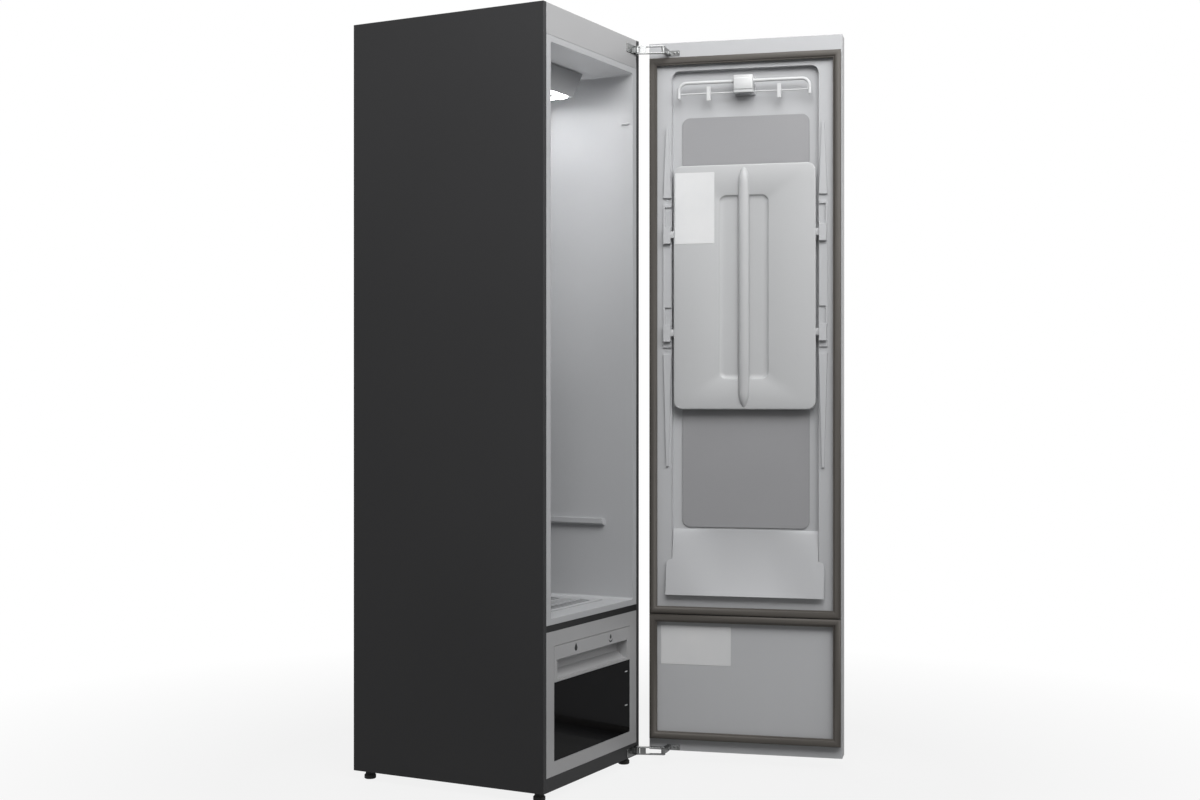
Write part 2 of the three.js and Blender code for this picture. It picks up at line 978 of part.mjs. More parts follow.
function ceilingHousing() {
  const back = housing.setback + housingDepth;
  const shell = frontSolid(taperedOutline(0), housing.setback, housingDepth);
  const w = mouldedWall;
  const hollow = frontSolid(taperedOutline(w), housing.setback + w, housingDepth - 2 * w);
  const slotHalfWidth = hangerRail.stemWidth / 2 + hangerRail.travel + slideGap;
  const slotHalfDepth = hangerRail.stemThickness / 2 + slideGap;
  const railSlot = block(
    -slotHalfWidth, slotHalfWidth,
    railSetback - slotHalfDepth, railSetback + slotHalfDepth,
    housingBottom - cutOverrun, housingBottom + mouldedWall + cutOverrun,
  );
  const louvres = [];
  const pitch = (housing.drop - housing.louvreMargin) / housing.louvres;
  for (let i = 0; i < housing.louvres; i += 1) {
    const z = housingBottom + housing.louvreMargin / 2 + i * pitch;
    louvres.push(block(
      -housingBottomHalfWidth + housing.louvreMargin, housingBottomHalfWidth - housing.louvreMargin,
      back - mouldedWall - cutOverrun, back + cutOverrun,
      z, z + housing.louvreHeight,
    ));
  }
  return cut(shell, hollow, railSlot, louvres);
}

function ledRing() {
  const outerEdge = housingBottomHalfWidth - lightRing.edgeInset;
  const near = housing.setback + lightRing.edgeInset;
  const far = near + lightRingLength;
  const outer = roundedOutline(-outerEdge, outerEdge, near, far, lightRing.cornerRadius);
  const b = lightRing.band;
  const innerEdge = outerEdge - b;
  const inner = roundedOutline(-innerEdge, innerEdge, near + b, far - b, lightRing.cornerRadius - b / 2);
  const bottom = housingBottom - seatGap - lightRing.thickness;
  return cut(
    planSolid(outer, bottom, lightRing.thickness, wideCornerSteps),
    planSolid(inner, bottom - cutOverrun, lightRing.thickness + 2 * cutOverrun, wideCornerSteps),
  );
}

function movingHangerRail() {
  const top = housingBottom - hangerRail.drop + hangerRail.height;
  const bottom = top - hangerRail.height;
  const y0 = railSetback - hangerRail.thickness / 2;
  const end = railHalfLength;
  const shape = roundedOutline(-end, end, bottom, top, hangerRail.height / 3);
  const bar = frontSolid(shape, y0, hangerRail.thickness);
  const notches = [];
  const pitch = (2 * railHalfLength) / (hangerRail.notches + 1);
  for (let i = 0; i < hangerRail.notches; i += 1) {
    const x = -railHalfLength + (i + 1) * pitch;
    if (Math.abs(x) < pitch / 2) continue;
    notches.push(frontSolid(
      outline([
        [x - hangerRail.notchWidth / 2, top + cutOverrun],
        [x - hangerRail.notchWidth / 4, top - hangerRail.notchDepth],
        [x + hangerRail.notchWidth / 4, top - hangerRail.notchDepth],
        [x + hangerRail.notchWidth / 2, top + cutOverrun],
      ]),
      y0 - cutOverrun, hangerRail.thickness + 2 * cutOverrun,
    ));
  }
  const headBottom = housingBottom + mouldedWall + seatGap;
  const stem = block(
    -hangerRail.stemWidth / 2, hangerRail.stemWidth / 2,
    railSetback - hangerRail.stemThickness / 2, railSetback + hangerRail.stemThickness / 2,
    top - hangerRail.height / 2, headBottom + hangerRail.headHeight / 2,
  );
  const head = block(
    -hangerRail.headWidth / 2, hangerRail.headWidth / 2,
    railSetback - hangerRail.headThickness / 2, railSetback + hangerRail.headThickness / 2,
    headBottom, headBottom + hangerRail.headHeight,
  );
  return join(cut(bar, notches), stem, head);
}

function hangerDriveMotor() {
  const floor = housingBottom + mouldedWall + seatGap;
  const y = railSetback + hangerRail.headThickness / 2 + hangerMotor.radius + slideGap;
  const m = hangerMotor;
  const can = turned([
    [0, 0],
    [m.radius, 0],
    [m.radius, m.height - m.shoulder],
    [m.radius - m.shoulder, m.height],
    [0, m.height],
  ], 0, y, floor, postSides);
  const shaftTop = floor + m.height + m.shaftRise;
  const shaft = post(m.shaftRadius, 0, y, floor + m.height / 2, shaftTop, pinSides);
  const flange = block(
    -m.flangeHalfLength, m.flangeHalfLength,
    y - m.flangeHalfWidth, y + m.flangeHalfWidth,
    floor, floor + m.flangeThickness,
  );
  return join(can, shaft, flange);
}

function shelfLedges() {
  const wall = chamberHalfWidth + mouldedWall / 2;
  const nose = chamberHalfWidth - shelfLedge.projection;
  const shape = outline([
    [wall, shelfLedge.top],
    [nose, shelfLedge.top],
    [nose, shelfLedge.top - shelfLedge.height + shelfLedge.noseDrop],
    [nose + shelfLedge.noseDrop, shelfLedge.top - shelfLedge.height],
    [wall, shelfLedge.top - shelfLedge.height],
  ]);
  const length = chamberDepth - shelfLedge.backMargin - shelfLedge.setback;
  const right = frontSolid(shape, shelfLedge.setback, length);
  return [right, mirroredX(right)];
}

// Lower front frame with the tunnel that the tank drawer slides in
function lowerFrame() {
  const opening = drawerHalfWidth + slideGap;
  const face = block(-faceHalfWidth, faceHalfWidth, 0, faceThickness, plinthTop, lowerFrameTop);
  const tunnel = block(
    -bayHalfWidth - bay.wall, bayHalfWidth + bay.wall,
    faceThickness / 2, bayDepth,
    bayBottom - bay.wall, bayTop + bay.wall,
  );
  const tunnelHollow = block(
    -bayHalfWidth, bayHalfWidth,
    faceThickness, bayDepth + cutOverrun,
    bayBottom, bayTop,
  );
  const mouth = block(
    -opening, opening, -cutOverrun, faceThickness + cutOverrun,
    drawer.bottom - slideGap, drawer.top + slideGap,
  );
  return join(cut(join(face, tunnel), tunnelHollow, mouth), drawerRunners());
}

function drawerRunners() {
  const top = drawer.boxTop - drawer.rimThickness - seatGap;
  const right = block(
    boxHalfWidth + slideGap, bayHalfWidth + bay.wall / 2,
    runner.setback, bayDepth - runner.endGap,
    top - runner.height, top,
  );
  return [right, mirroredX(right)];
}

// Drawer front with its scooped handle pocket; the cavity outline is in Y and Z
function pocketOutline(grow) {
  const edge = grow ? 0 : -cutOverrun;
  return outline([
    [edge, pocket.bottom - grow],
    [pocket.lipDepth, pocket.bottom - grow],
    [pocket.depth + grow, pocket.bottom + pocket.floorRise - grow / 2],
    [pocket.depth + grow, pocket.top + pocket.crownRise + grow],
    [pocket.lipDepth - grow, pocket.top + pocket.crownRise + grow],
    [pocket.lipDepth - grow, pocket.top + grow],
    [edge, pocket.top + grow],
  ]);
}

function drawerFront() {
  const w = mouldedWall;
  const windowGap = drawer.windowTop + seatGap;
  const upper = block(-drawerHalfWidth, drawerHalfWidth, 0, w, windowGap, drawer.top);
  const shelf = block(
    -drawerHalfWidth, drawerHalfWidth,
    w / 2, drawer.windowThickness + seatGap + drawer.backingThickness,
    windowGap, windowGap + w,
  );
  const lowerFront = drawer.windowThickness + seatGap;
  const backing = cut(
    block(
      -drawerHalfWidth, drawerHalfWidth,
      lowerFront, lowerFront + drawer.backingThickness,
      drawer.bottom, windowGap + w,
    ),
    block(
      -boxHalfWidth + drawer.backingRim, boxHalfWidth - drawer.backingRim,
      lowerFront - cutOverrun, lowerFront + drawer.backingThickness + cutOverrun,
      drawer.bottom + drawer.backingRim, drawer.windowTop - drawer.backingRim,
    ),
  );
  const scoopShell = sideSolid(pocketOutline(w), -pocketHalfWidth - w, 2 * (pocketHalfWidth + w));
  const scoop = sideSolid(pocketOutline(0), -pocketHalfWidth, 2 * pocketHalfWidth);
  return cut(join(upper, shelf, backing, scoopShell), scoop);
}

function drawerWindow() {
  return block(
    -drawerHalfWidth, drawerHalfWidth,
    0, drawer.windowThickness,
    drawer.bottom, drawer.windowTop,
  );
}

function drawerBox() {
  const front = drawer.windowThickness + 2 * seatGap + drawer.backingThickness;
  const back = front + boxDepth;
  const w = drawer.wall;
  const outer = block(-boxHalfWidth, boxHalfWidth, front, back, drawer.bottom, drawer.boxTop);
  const rims = block(
    -boxHalfWidth - drawer.rimWidth + slideGap, boxHalfWidth + drawer.rimWidth - slideGap,
    runner.setback - drawer.boxSetback, back,
    drawer.boxTop - drawer.rimThickness, drawer.boxTop,
  );
  const edge = boxHalfWidth - w;
  const leftWell = block(-edge, -w / 2, front + w, back - w, drawer.bottom + w, drawer.boxTop + cutOverrun);
  return cut(join(outer, rims), leftWell, mirroredX(leftWell));
}

// Water tanks: round-cornered bottles with a grip bar over the top and a filling hole
function waterTank(side) {
  const w = drawer.wall;
  const near = w / 2 + tank.sideGap;
  const farEdge = boxHalfWidth - w - tank.sideGap;
  const front = drawer.windowThickness + 2 * seatGap + drawer.backingThickness + w + tank.sideGap;
  const back = front + boxDepth - 2 * w - 2 * tank.sideGap;
  const bottom = drawer.bottom + w + seatGap;
  const top = bottom + tank.height;
  const t = tank.wall;
  const outside = roundedOutline(near, farEdge, front, back, tank.cornerRadius);
  const inside = roundedOutline(near + t, farEdge - t, front + t, back - t, tank.cornerRadius - t);
  const shell = planSolid(outside, bottom, tank.height);
  const hollow = planSolid(inside, bottom + t, tank.height - 2 * t);
  const middle = (near + farEdge) / 2;
  const holePlace = front + tank.capSetback;
  const hole = post(tank.capRadius, middle, holePlace, top - 2 * t, top + cutOverrun, wheelSides);
  const gripFront = back - tank.capSetback;
  const gripLeft = middle - tank.gripWidth / 2;
  const gripRight = middle + tank.gripWidth / 2;
  const grip = cut(
    block(gripLeft, gripRight, gripFront - tank.gripDepth, gripFront, top - t / 2, top + tank.gripHeight),
    block(
      gripLeft + tank.gripDepth / 2, gripRight - tank.gripDepth / 2,
      gripFront - tank.gripDepth - cutOverrun, gripFront + cutOverrun,
      top, top + tank.gripHeight - t,
    ),
  );
  const body = join(cut(shell, hollow, hole), grip);
  return side < 0 ? mirroredX(body) : body;
}

// Machine space: compressor, coils, blower, duct, steam generator, pump
function compressorBody() {
  const c = compressor;
  const plateTop = panFloor + seatGap + c.footHeight + c.plateThickness;
  const canTop = plateTop + c.height;
  const can = turned([
    [0, 0],
    [c.radius - c.dome / 2, 0],
    [c.radius, c.dome / 2],
    [c.radius, c.height - c.dome],
    [c.radius - c.dome / 2, c.height - c.dome / 3],
    [c.radius - 1.5 * c.dome, c.height],
    [0, c.height],
  ], compressorSide, compressorSetback, plateTop - c.plateThickness / 2, wheelSides);
  const spread = c.footSpread;
  const [x, y] = [compressorSide, compressorSetback];
  const plateShape = roundedOutline(x - spread, x + spread, y - spread, y + spread, c.footRadius);
  const plate = planSolid(plateShape, plateTop - c.plateThickness, c.plateThickness, smallCornerSteps);
  const feet = [];
  for (const sx of [-1, 1]) {
    for (const sy of [-1, 1]) {
      const footX = x + sx * (spread - c.footRadius);
      const footY = y + sy * (spread - c.footRadius);
      const footTop = plateTop - c.plateThickness / 2;
      feet.push(post(c.footRadius, footX, footY, panFloor + seatGap, footTop, pinSides));
    }
  }
  const accumulatorX = compressorSide + c.radius + c.accumulatorRadius / 2;
  const accumulatorY = compressorSetback - c.radius + c.accumulatorRadius;
  const accumulator = post(
    c.accumulatorRadius, accumulatorX, accumulatorY,
    canTop - c.accumulatorHeight - c.dome, canTop - c.dome, postSides,
  );
  const strap = block(
    compressorSide, accumulatorX, accumulatorY - c.footRadius / 2, accumulatorY + c.footRadius / 2,
    canTop - c.accumulatorHeight, canTop - c.accumulatorHeight + c.footHeight,
  );
  return join(can, plate, feet, accumulator, strap);
}

function finnedCoil(setback) {
  const left = coilLeft;
  const right = coilRight;
  const near = setback;
  const far = setback + coil.thickness;
  const spine = coil.thickness / 2;
  const pitch = (right - left - 2 * coil.headerThickness) / coil.fins;
  const finWidth = pitch * coil.finShare;
  const bottom = panFloor + seatGap;
  const points = [[left, near], [left + coil.headerThickness, near]];
  for (let i = 0; i < coil.fins; i += 1) {
    const x = left + coil.headerThickness + (i + 0.5) * pitch - finWidth / 2;
    const tip = near + finWidth;
    points.push([x, near + spine], [x, tip], [x + finWidth, tip], [x + finWidth, near + spine]);
  }
  points.push([right - coil.headerThickness, near + spine], [right - coil.headerThickness, near]);
  points.push([right, near], [right, far], [left, far]);
  points.splice(2, 0, [left + coil.headerThickness, near + spine]);
  const fins = planSolid(outline(points), bottom, coil.height);
  const tubes = [];
  for (let i = 0; i < coil.tubeRows; i += 1) {
    const z = bottom + ((i + 0.5) * coil.height) / coil.tubeRows;
    const bend = new THREE.TorusGeometry(coil.bendRadius, coil.tubeRadius, coil.bendSides, coil.bendSteps);
    bend.rotateX(Math.PI / 2);
    bend.translate(right - coil.tubeRadius, near + spine, z);
    tubes.push(solid(bend));
  }
  return join(fins, tubes);
}

function scrollOutline(inset, rise) {
  const b = blower;
  const radius = b.scrollRadius - inset;
  const right = blowerSide + radius;
  const left = right - b.outletWidth + inset;
  const shape = new THREE.Shape();
  shape.moveTo(right, b.centreHeight);
  shape.lineTo(right, b.outletHeight + rise);
  shape.lineTo(left, b.outletHeight + rise);
  const start = Math.acos((left - blowerSide) / radius);
  shape.lineTo(left, b.centreHeight + Math.sin(start) * radius);
  shape.absarc(blowerSide, b.centreHeight, radius, start, 2 * Math.PI);
  shape.closePath();
  return shape;
}

function blowerHousing() {
  const b = blower;
  const front = blowerSetback - b.width / 2;
  const back = blowerSetback + b.width / 2;
  const shell = frontSolid(scrollOutline(0, 0), front, b.width, b.scrollSteps);
  const inside = scrollOutline(b.wall, cutOverrun);
  const hollow = frontSolid(inside, front + b.wall, b.width - 2 * b.wall, b.scrollSteps);
  const intake = rodAlongY(
    b.intakeRadius, blowerSide, b.centreHeight,
    front - cutOverrun, front + b.wall + cutOverrun, wheelSides,
  );
  const bearing = rodAlongY(
    b.shaftRadius + seatGap, blowerSide, b.centreHeight,
    back - b.wall - cutOverrun, back + cutOverrun, postSides,
  );
  const legInner = b.legSpread - b.legHalfWidth;
  const legTop = b.centreHeight - Math.sqrt(b.scrollRadius ** 2 - legInner ** 2) + b.wall;
  const legs = [-1, 1].map((side) => {
    const x = blowerSide + side * b.legSpread;
    return block(x - b.legHalfWidth, x + b.legHalfWidth, front, back, panFloor + seatGap, legTop);
  });
  return join(cut(shell, hollow, intake, bearing), legs);
}

function blowerWheel() {
  const b = blower;
  const front = blowerSetback - b.wheelWidth / 2;
  const back = blowerSetback + b.wheelWidth / 2;
  const disc = rodAlongY(b.wheelRadius, blowerSide, b.centreHeight, back - b.wall, back, wheelSides);
  const hub = rodAlongY(b.hubRadius, blowerSide, b.centreHeight, front + b.wheelWidth / 2, back, postSides);
  const shaft = rodAlongY(
    b.shaftRadius, blowerSide, b.centreHeight, back - b.wall, back + b.shaftLength / 2, postSides,
  );
  const ring = cut(
    rodAlongY(b.wheelRadius, blowerSide, b.centreHeight, front, front + b.wall, wheelSides),
    rodAlongY(
      b.wheelRadius - b.bladeLength, blowerSide, b.centreHeight,
      front - cutOverrun, front + b.wall + cutOverrun, wheelSides,
    ),
  );
  const blades = [];
  for (let i = 0; i < b.blades; i += 1) {
    const blade = new THREE.BoxGeometry(b.bladeLength, b.wheelWidth - b.wall, b.bladeThickness);
    blade.rotateY(THREE.MathUtils.degToRad(b.bladeTilt));
    blade.translate(b.wheelRadius - b.bladeLength / 2 - b.bladeThickness / 2, 0, 0);
    blade.rotateY((i * 2 * Math.PI) / b.blades);
    blade.translate(blowerSide, (front + back) / 2, b.centreHeight);
    blades.push(solid(blade));
  }
  return join(disc, hub, shaft, ring, blades);
}

function rearDuct() {
  const right = ductRight;
  const left = ductLeft;
  const front = chamberDepth + mouldedWall + seatGap;
  const back = front + duct.depth;
  const bottom = blower.outletHeight + seatGap;
  const ventTop = chamberCeiling - chamber.backVentDrop;
  const top = ventTop + mouldedWall;
  const shell = block(left, right, front, back, bottom, top);
  const w = duct.wall;
  const hollow = block(left + w, right - w, front + w, back - w, bottom - cutOverrun, top - w);
  const mouth = block(
    left + w, right - w,
    front - cutOverrun, front + w + cutOverrun,
    ventTop - chamber.backVentHeight, ventTop,
  );
  return cut(shell, hollow, mouth);
}

function steamGenerator() {
  const s = steamer;
  const bottom = panFloor + seatGap;
  const left = steamerLeft;
  const right = left + s.width;
  const front = steamerSetback;
  const back = front + s.depth;
  const flange = planSolid(
    roundedOutline(left, right, front, back, s.cornerRadius),
    bottom, s.flangeHeight, smallCornerSteps,
  );
  const f = s.flange;
  const body = planSolid(
    roundedOutline(left + f, right - f, front + f, back - f, s.cornerRadius),
    bottom + s.flangeHeight / 2, s.height, smallCornerSteps,
  );
  const collar = planSolid(
    roundedOutline(left, right, front, back, s.cornerRadius),
    bottom + s.height / 2, s.flangeHeight, smallCornerSteps,
  );
  const top = bottom + s.flangeHeight / 2 + s.height;
  const outlet = post(
    s.outletRadius, (left + right) / 2, (front + back) / 2,
    top - s.flangeHeight, top + s.outletHeight, pinSides,
  );
  return join(flange, body, collar, outlet);
}

function waterPump() {
  const p = pump;
  const bottom = panFloor + seatGap;
  const z = bottom + p.footHeight + p.radius;
  const body = rodAlongY(p.radius, pumpLeft + p.radius, z, pumpSetback, pumpSetback + p.length, postSides);
  const cradle = block(
    pumpLeft + p.radius / 2, pumpLeft + 1.5 * p.radius,
    pumpSetback + p.footHeight, pumpSetback + p.length - p.footHeight,
    bottom, z - p.radius / 2,
  );
  const nozzle = rodAlongY(
    p.nozzleRadius, pumpLeft + p.radius, z,
    pumpSetback - p.nozzleLength, pumpSetback + p.footHeight, pinSides,
  );
  const riser = post(
    p.nozzleRadius, pumpLeft + p.radius, pumpSetback + p.length / 2,
    z, z + p.radius + p.nozzleLength, pinSides,
  );
  return join(body, cradle, nozzle, riser);
}

function controlBoard() {
  const b = board;
  const bottom = headerBottom + faceThickness + seatGap;
  const w = b.wall;
  const tray = cut(
    block(-b.halfWidth, b.halfWidth, b.setback, b.setback + b.depth, bottom, bottom + b.height),
    block(
      -b.halfWidth + w, b.halfWidth - w, b.setback + w, b.setback + b.depth - w,
      bottom + w, bottom + b.height + cutOverrun,
    ),
  );
  const card = block(
    -b.halfWidth + w / 2, b.halfWidth - w / 2, b.setback + 3 * w, b.setback + b.depth - 3 * w,
    bottom + b.height / 3, bottom + b.height / 3 + b.thickness,
  );
  const parts = [];
  const size = b.height / 3;
  for (let i = 0; i < b.chips; i += 1) {
    const x = -b.halfWidth + ((i + 1) * 2 * b.halfWidth) / (b.chips + 1);
    parts.push(block(
      x - size / 2, x + size / 2,
      b.setback + b.depth / 3, b.setback + b.depth / 3 + (1 + (i % b.chipSizes)) * size,
      bottom + b.height / 3, bottom + b.height - w,
    ));
  }
  return join(tray, card, parts);
}

// Folding hinge. Each link lies along its own +X, from its first pivot to its second
function linkBar(length, halfWidth, halfHeight) {
  const shape = roundedOutline(-halfWidth, length + halfWidth, -halfWidth, halfWidth, halfWidth);
  return planSolid(shape, -halfHeight, 2 * halfHeight, smallCornerSteps);
}

function hingePin(x, halfHeight) {
  return post(hinge.pinRadius, x, 0, -halfHeight, halfHeight, postSides);
}

function pinBore(x, halfHeight) {
  const radius = hinge.pinRadius + hinge.pinClearance;
  return post(radius, x, 0, -halfHeight - cutOverrun, halfHeight + cutOverrun, postSides);
}

function longLinkBody() {
  const h = hinge;
  const side = 2 * h.longHalfWidth;
  const inside = h.channelHalfHeight - h.channelSheet;
  const bar = linkBar(h.longLength, h.longHalfWidth, h.channelHalfHeight);
  const nearGap = block(-side, h.spacerStart, -side, side, -inside, inside);
  const farGap = block(h.spacerEnd, h.longLength + side, -side, side, -inside, inside);
  const nearPin = hingePin(0, h.channelHalfHeight);
  const farPin = hingePin(h.longLength, h.channelHalfHeight);
  return join(cut(bar, nearGap, farGap), nearPin, farPin);
}

function shortLinkBody() {
  const h = hinge;
  const side = 2 * h.shortHalfWidth;
  const bar = linkBar(h.shortLength, h.shortHalfWidth, h.shortHalfHeight);
  const fork = block(
    h.shortLength - h.forkDepth, h.shortLength + side,
    -side, side,
    -h.forkHalfGap, h.forkHalfGap,
  );
  const body = cut(bar, fork, pinBore(0, h.shortHalfHeight));
  return join(body, hingePin(h.shortLength, h.shortHalfHeight));
}

// The cabinet's hinge plate, with its pivot at the origin and the frame's face at +Y
function cabinetHingePlate() {
  const h = hinge;
  const face = h.cabinetStandoff - seatGap;
  const knuckleHalf = h.channelHalfHeight - h.channelSheet - slideGap;
  const plateShape = roundedOutline(
    -h.plateLeft + h.cabinetPivotInset, h.cabinetPivotInset - h.plateRight,
    -h.plateHalfHeight, h.plateHalfHeight, h.screwRadius,
  );
  const plate = frontSolid(plateShape, face - h.plateThickness, h.plateThickness, smallCornerSteps);
  const arm = block(
    -h.knuckleRadius, h.knuckleRadius,
    0, face - h.plateThickness / 2,
    -knuckleHalf, knuckleHalf,
  );
  const barrel = post(h.knuckleRadius, 0, 0, -knuckleHalf, knuckleHalf, postSides);
  return cut(join(plate, arm, barrel), pinBore(0, knuckleHalf));
}

// A round bar or bore drawn out along -X by the pivot's travel, for the door's slotted pivot
function slotted(radius, halfHeight) {
  const shape = roundedOutline(-hinge.slotTravel - radius, radius, -radius, radius, radius);
  return planSolid(shape, -halfHeight, 2 * halfHeight, smallCornerSteps);
}

// The door's hinge plate, with its pivot at the origin and the door's inner face at -Y
function doorHingePlate() {
  const h = hinge;
  const face = -h.doorStandoff + seatGap;
  const tall = h.doorKnuckleHalfHeight;
  const plateShape = roundedOutline(
    h.doorPivotInset - h.doorPlateFar, h.doorPivotInset - h.doorPlateNear,
    -h.doorPlateHalfHeight, h.doorPlateHalfHeight, h.screwRadius,
  );
  const plate = frontSolid(plateShape, face, h.plateThickness, smallCornerSteps);
  const arm = block(
    -h.slotTravel - h.knuckleRadius, h.knuckleRadius, face + h.plateThickness / 2, 0,
    -tall, tall,
  );
  const slot = slotted(h.pinRadius + h.slotClearance, tall + cutOverrun);
  return cut(join(plate, arm, slotted(h.knuckleRadius, tall)), slot);
}

// Door pieces. Their group's origin is the inner face's corner at the hinge edge, at floor level:
// X runs from minus the width to 0, so a place s from the hinge edge is at X -s, and d is along +Y
function doorSpan(margin) {
  return [-cabinetWidth + margin, -margin];
}

function doorOuterPanel() {
  const edge = door.outerSheet / 2;
  const [left, right] = doorSpan(0);
  const back = -door.thickness + door.outerThickness;
  const plate = block(left, right, -door.thickness, back, door.bottom, cabinetHeight);
  const t = door.outerSheet;
  const tray = block(
    left + t, right - t,
    -door.thickness + t, back + cutOverrun,
    door.bottom + t, cabinetHeight - t,
  );
  const bevelled = [];
  const reach = door.thickness;
  for (const [x, direction] of [[left, 1], [right, -1]]) {
    const points = [
      [x - direction * cutOverrun, -reach - cutOverrun],
      [x + direction * (edge + cutOverrun), -reach - cutOverrun],
      [x - direction * cutOverrun, -reach + edge + cutOverrun],
    ];
    if (direction < 0) points.reverse();
    bevelled.push(planSolid(outline(points), door.bottom - cutOverrun, doorHeight + 2 * cutOverrun));
  }
  return cut(plate, tray, bevelled);
}

function doorFrame() {
  const [left, right] = doorSpan(0);
  const front = -door.thickness + door.outerThickness + seatGap;
  const back = -door.linerThickness - seatGap;
  const w = door.frameWidth;
  return cut(
    block(left, right, front, back, door.bottom, cabinetHeight),
    block(left + w, right - w, front - cutOverrun, back + cutOverrun, door.bottom + w, cabinetHeight - w),
  );
}

function recessOutline(grow) {
  const [left, right] = doorSpan(recess.sideMargin);
  return roundedOutline(
    left - grow, right + grow, recess.bottom - grow, recessTop + grow, recess.radius + grow,
  );
}

function doorCore() {
  const inset = door.frameWidth + seatGap;
  const [left, right] = doorSpan(inset);
  const front = -door.thickness + door.outerSheet + seatGap;
  const back = -door.linerThickness - seatGap;
  const wall = door.linerThickness + seatGap;
  return cut(
    block(left, right, front, back, door.bottom + inset, cabinetHeight - inset),
    frontSolid(recessOutline(wall), -recess.depth - wall, door.thickness, wideCornerSteps),
  );
}

// A long moulded ridge beside the recess, tapering to a narrow tip away from the rail
function taperedRidge(wideHeight, tipHeight) {
  const middle = (ridge.outer + ridge.inner) / 2;
  const low = Math.min(wideHeight, tipHeight);
  const high = Math.max(wideHeight, tipHeight);
  const tip = ridge.tipWidth / 2;
  const wideFirst = wideHeight === low;
  const lowOuter = wideFirst ? ridge.outer : middle - tip;
  const lowInner = wideFirst ? ridge.inner : middle + tip;
  const highOuter = wideFirst ? middle - tip : ridge.outer;
  const highInner = wideFirst ? middle + tip : ridge.inner;
  const shape = outline([[-lowInner, low], [-lowOuter, low], [-highOuter, high], [-highInner, high]]);
  const body = frontSolid(shape, -door.linerThickness / 2, ridge.rise + door.linerThickness / 2);
  return [body, mirroredX(body).translate([-cabinetWidth, 0, 0])];
}

function doorLiner() {
  const [left, right] = doorSpan(0);
  const t = door.linerThickness;
  const face = block(left, right, -t, 0, door.bottom, cabinetHeight);
  const tub = frontSolid(recessOutline(t), -recess.depth - t, recess.depth + t / 2, wideCornerSteps);
  const hollow = frontSolid(recessOutline(0), -recess.depth, recess.depth + cutOverrun, wideCornerSteps);
  const h = trouserHanger;
  const peg = block(
    -cabinetWidth / 2 - h.slotWidth / 2 + slideGap, -cabinetWidth / 2 + h.slotWidth / 2 - slideGap,
    -recess.depth - t / 2, h.blockBack + h.slotDepth - slideGap,
    blockBottom + slideGap, blockBottom + h.slotHeight - seatGap,
  );
  const pegFoot = block(
    -cabinetWidth / 2 - h.slotWidth, -cabinetWidth / 2 + h.slotWidth,
    -recess.depth - t / 2, -recess.depth / 2,
    blockBottom, blockTop,
  );
  const ridges = [
    taperedRidge(railTop + ridge.upperGap, railTop + ridge.upperGap + ridge.upperLength),
    taperedRidge(railBottom - ridge.lowerGap, railBottom - ridge.lowerGap - ridge.lowerLength),
  ];
  return join(cut(join(face, tub), hollow), peg, pegFoot, ridges.flat());
}

function backingBoard() {
  const [left, right] = doorSpan(boardPanel.sideMargin);
  const back = -recess.depth + seatGap;
  const top = recessTop - boardPanel.topInset;
  const shape = roundedOutline(left, right, boardPanel.bottom, top, boardPanel.radius);
  return frontSolid(shape, back, boardPanel.thickness, wideCornerSteps);
}

// A rail with its two windows and two open-topped hook cups; the cups open towards the press cover
function pressRail() {
  const plate = block(-rail.inner, -rail.outer, seatGap, seatGap + rail.thickness, railBottom, railTop);
  const windows = [rail.upperWindowDrops, rail.lowerWindowDrops].map(([low, high]) => block(
    -rail.inner - cutOverrun, -rail.outer - rail.windowInset,
    -cutOverrun, seatGap + rail.thickness + cutOverrun,
    recessTop - low, recessTop - high,
  ));
  const cups = cupBottoms.map((bottom) => {
    const back = seatGap + rail.thickness / 2;
    const top = bottom + hook.height;
    const solidCup = block(-hook.inner, -hook.outer, back, hook.rise, bottom, top);
    const well = block(
      -hook.inner - cutOverrun, -hook.outer - hook.wall,
      cupBack, cupFront,
      bottom + hook.floor, top + cutOverrun,
    );
    return cut(solidCup, well);
  });
  return join(cut(plate, windows), cups);
}

// The apron leaves the recess in a soft bend, lies over its rim and flares out to a turned lip
function apronPoint(share) {
  const start = -recess.depth + boardPanel.thickness;
  const z = apron.top + (apron.lip - apron.top) * share;
  if (z > apron.step) {
    const part = (apron.top - z) / (apron.top - apron.step);
    return [start + (apron.rimRise - start) * part * part * (3 - 2 * part), z];
  }
  const part = (apron.step - z) / (apron.step - apron.lip);
  return [apron.rimRise + (apron.lipRise - apron.rimRise) * part * part, z];
}

function doorApron() {
  const t = apron.thickness;
  const shares = Array.from({ length: apron.steps + 1 }, (_, i) => i / apron.steps);
  const front = shares.map(apronPoint);
  const back = front.map(([y, z]) => [y - t, z]).filter(([, z]) => z > apron.lip + t).reverse();
  const lip = [
    [apron.lipRise - apron.lipReturn, apron.lip],
    [apron.lipRise - apron.lipReturn, apron.lip + t],
    [apron.lipRise - t - (apron.lipRise - apron.rimRise) / apron.steps, apron.lip + t],
  ];
  const [left, right] = doorSpan(apron.wideMargin);
  const sheet = sideSolid(outline([...front, ...lip, ...back].reverse()), left, right - left);
  const [narrowLeft, narrowRight] = doorSpan(apron.narrowMargin);
  const deep = door.thickness;
  const top = apron.top + cutOverrun;
  const leftNotch = block(left - cutOverrun, narrowLeft, -deep, deep, apron.step, top);
  const rightNotch = block(narrowRight, right + cutOverrun, -deep, deep, apron.step, top);
  return cut(sheet, leftNotch, rightNotch);
}

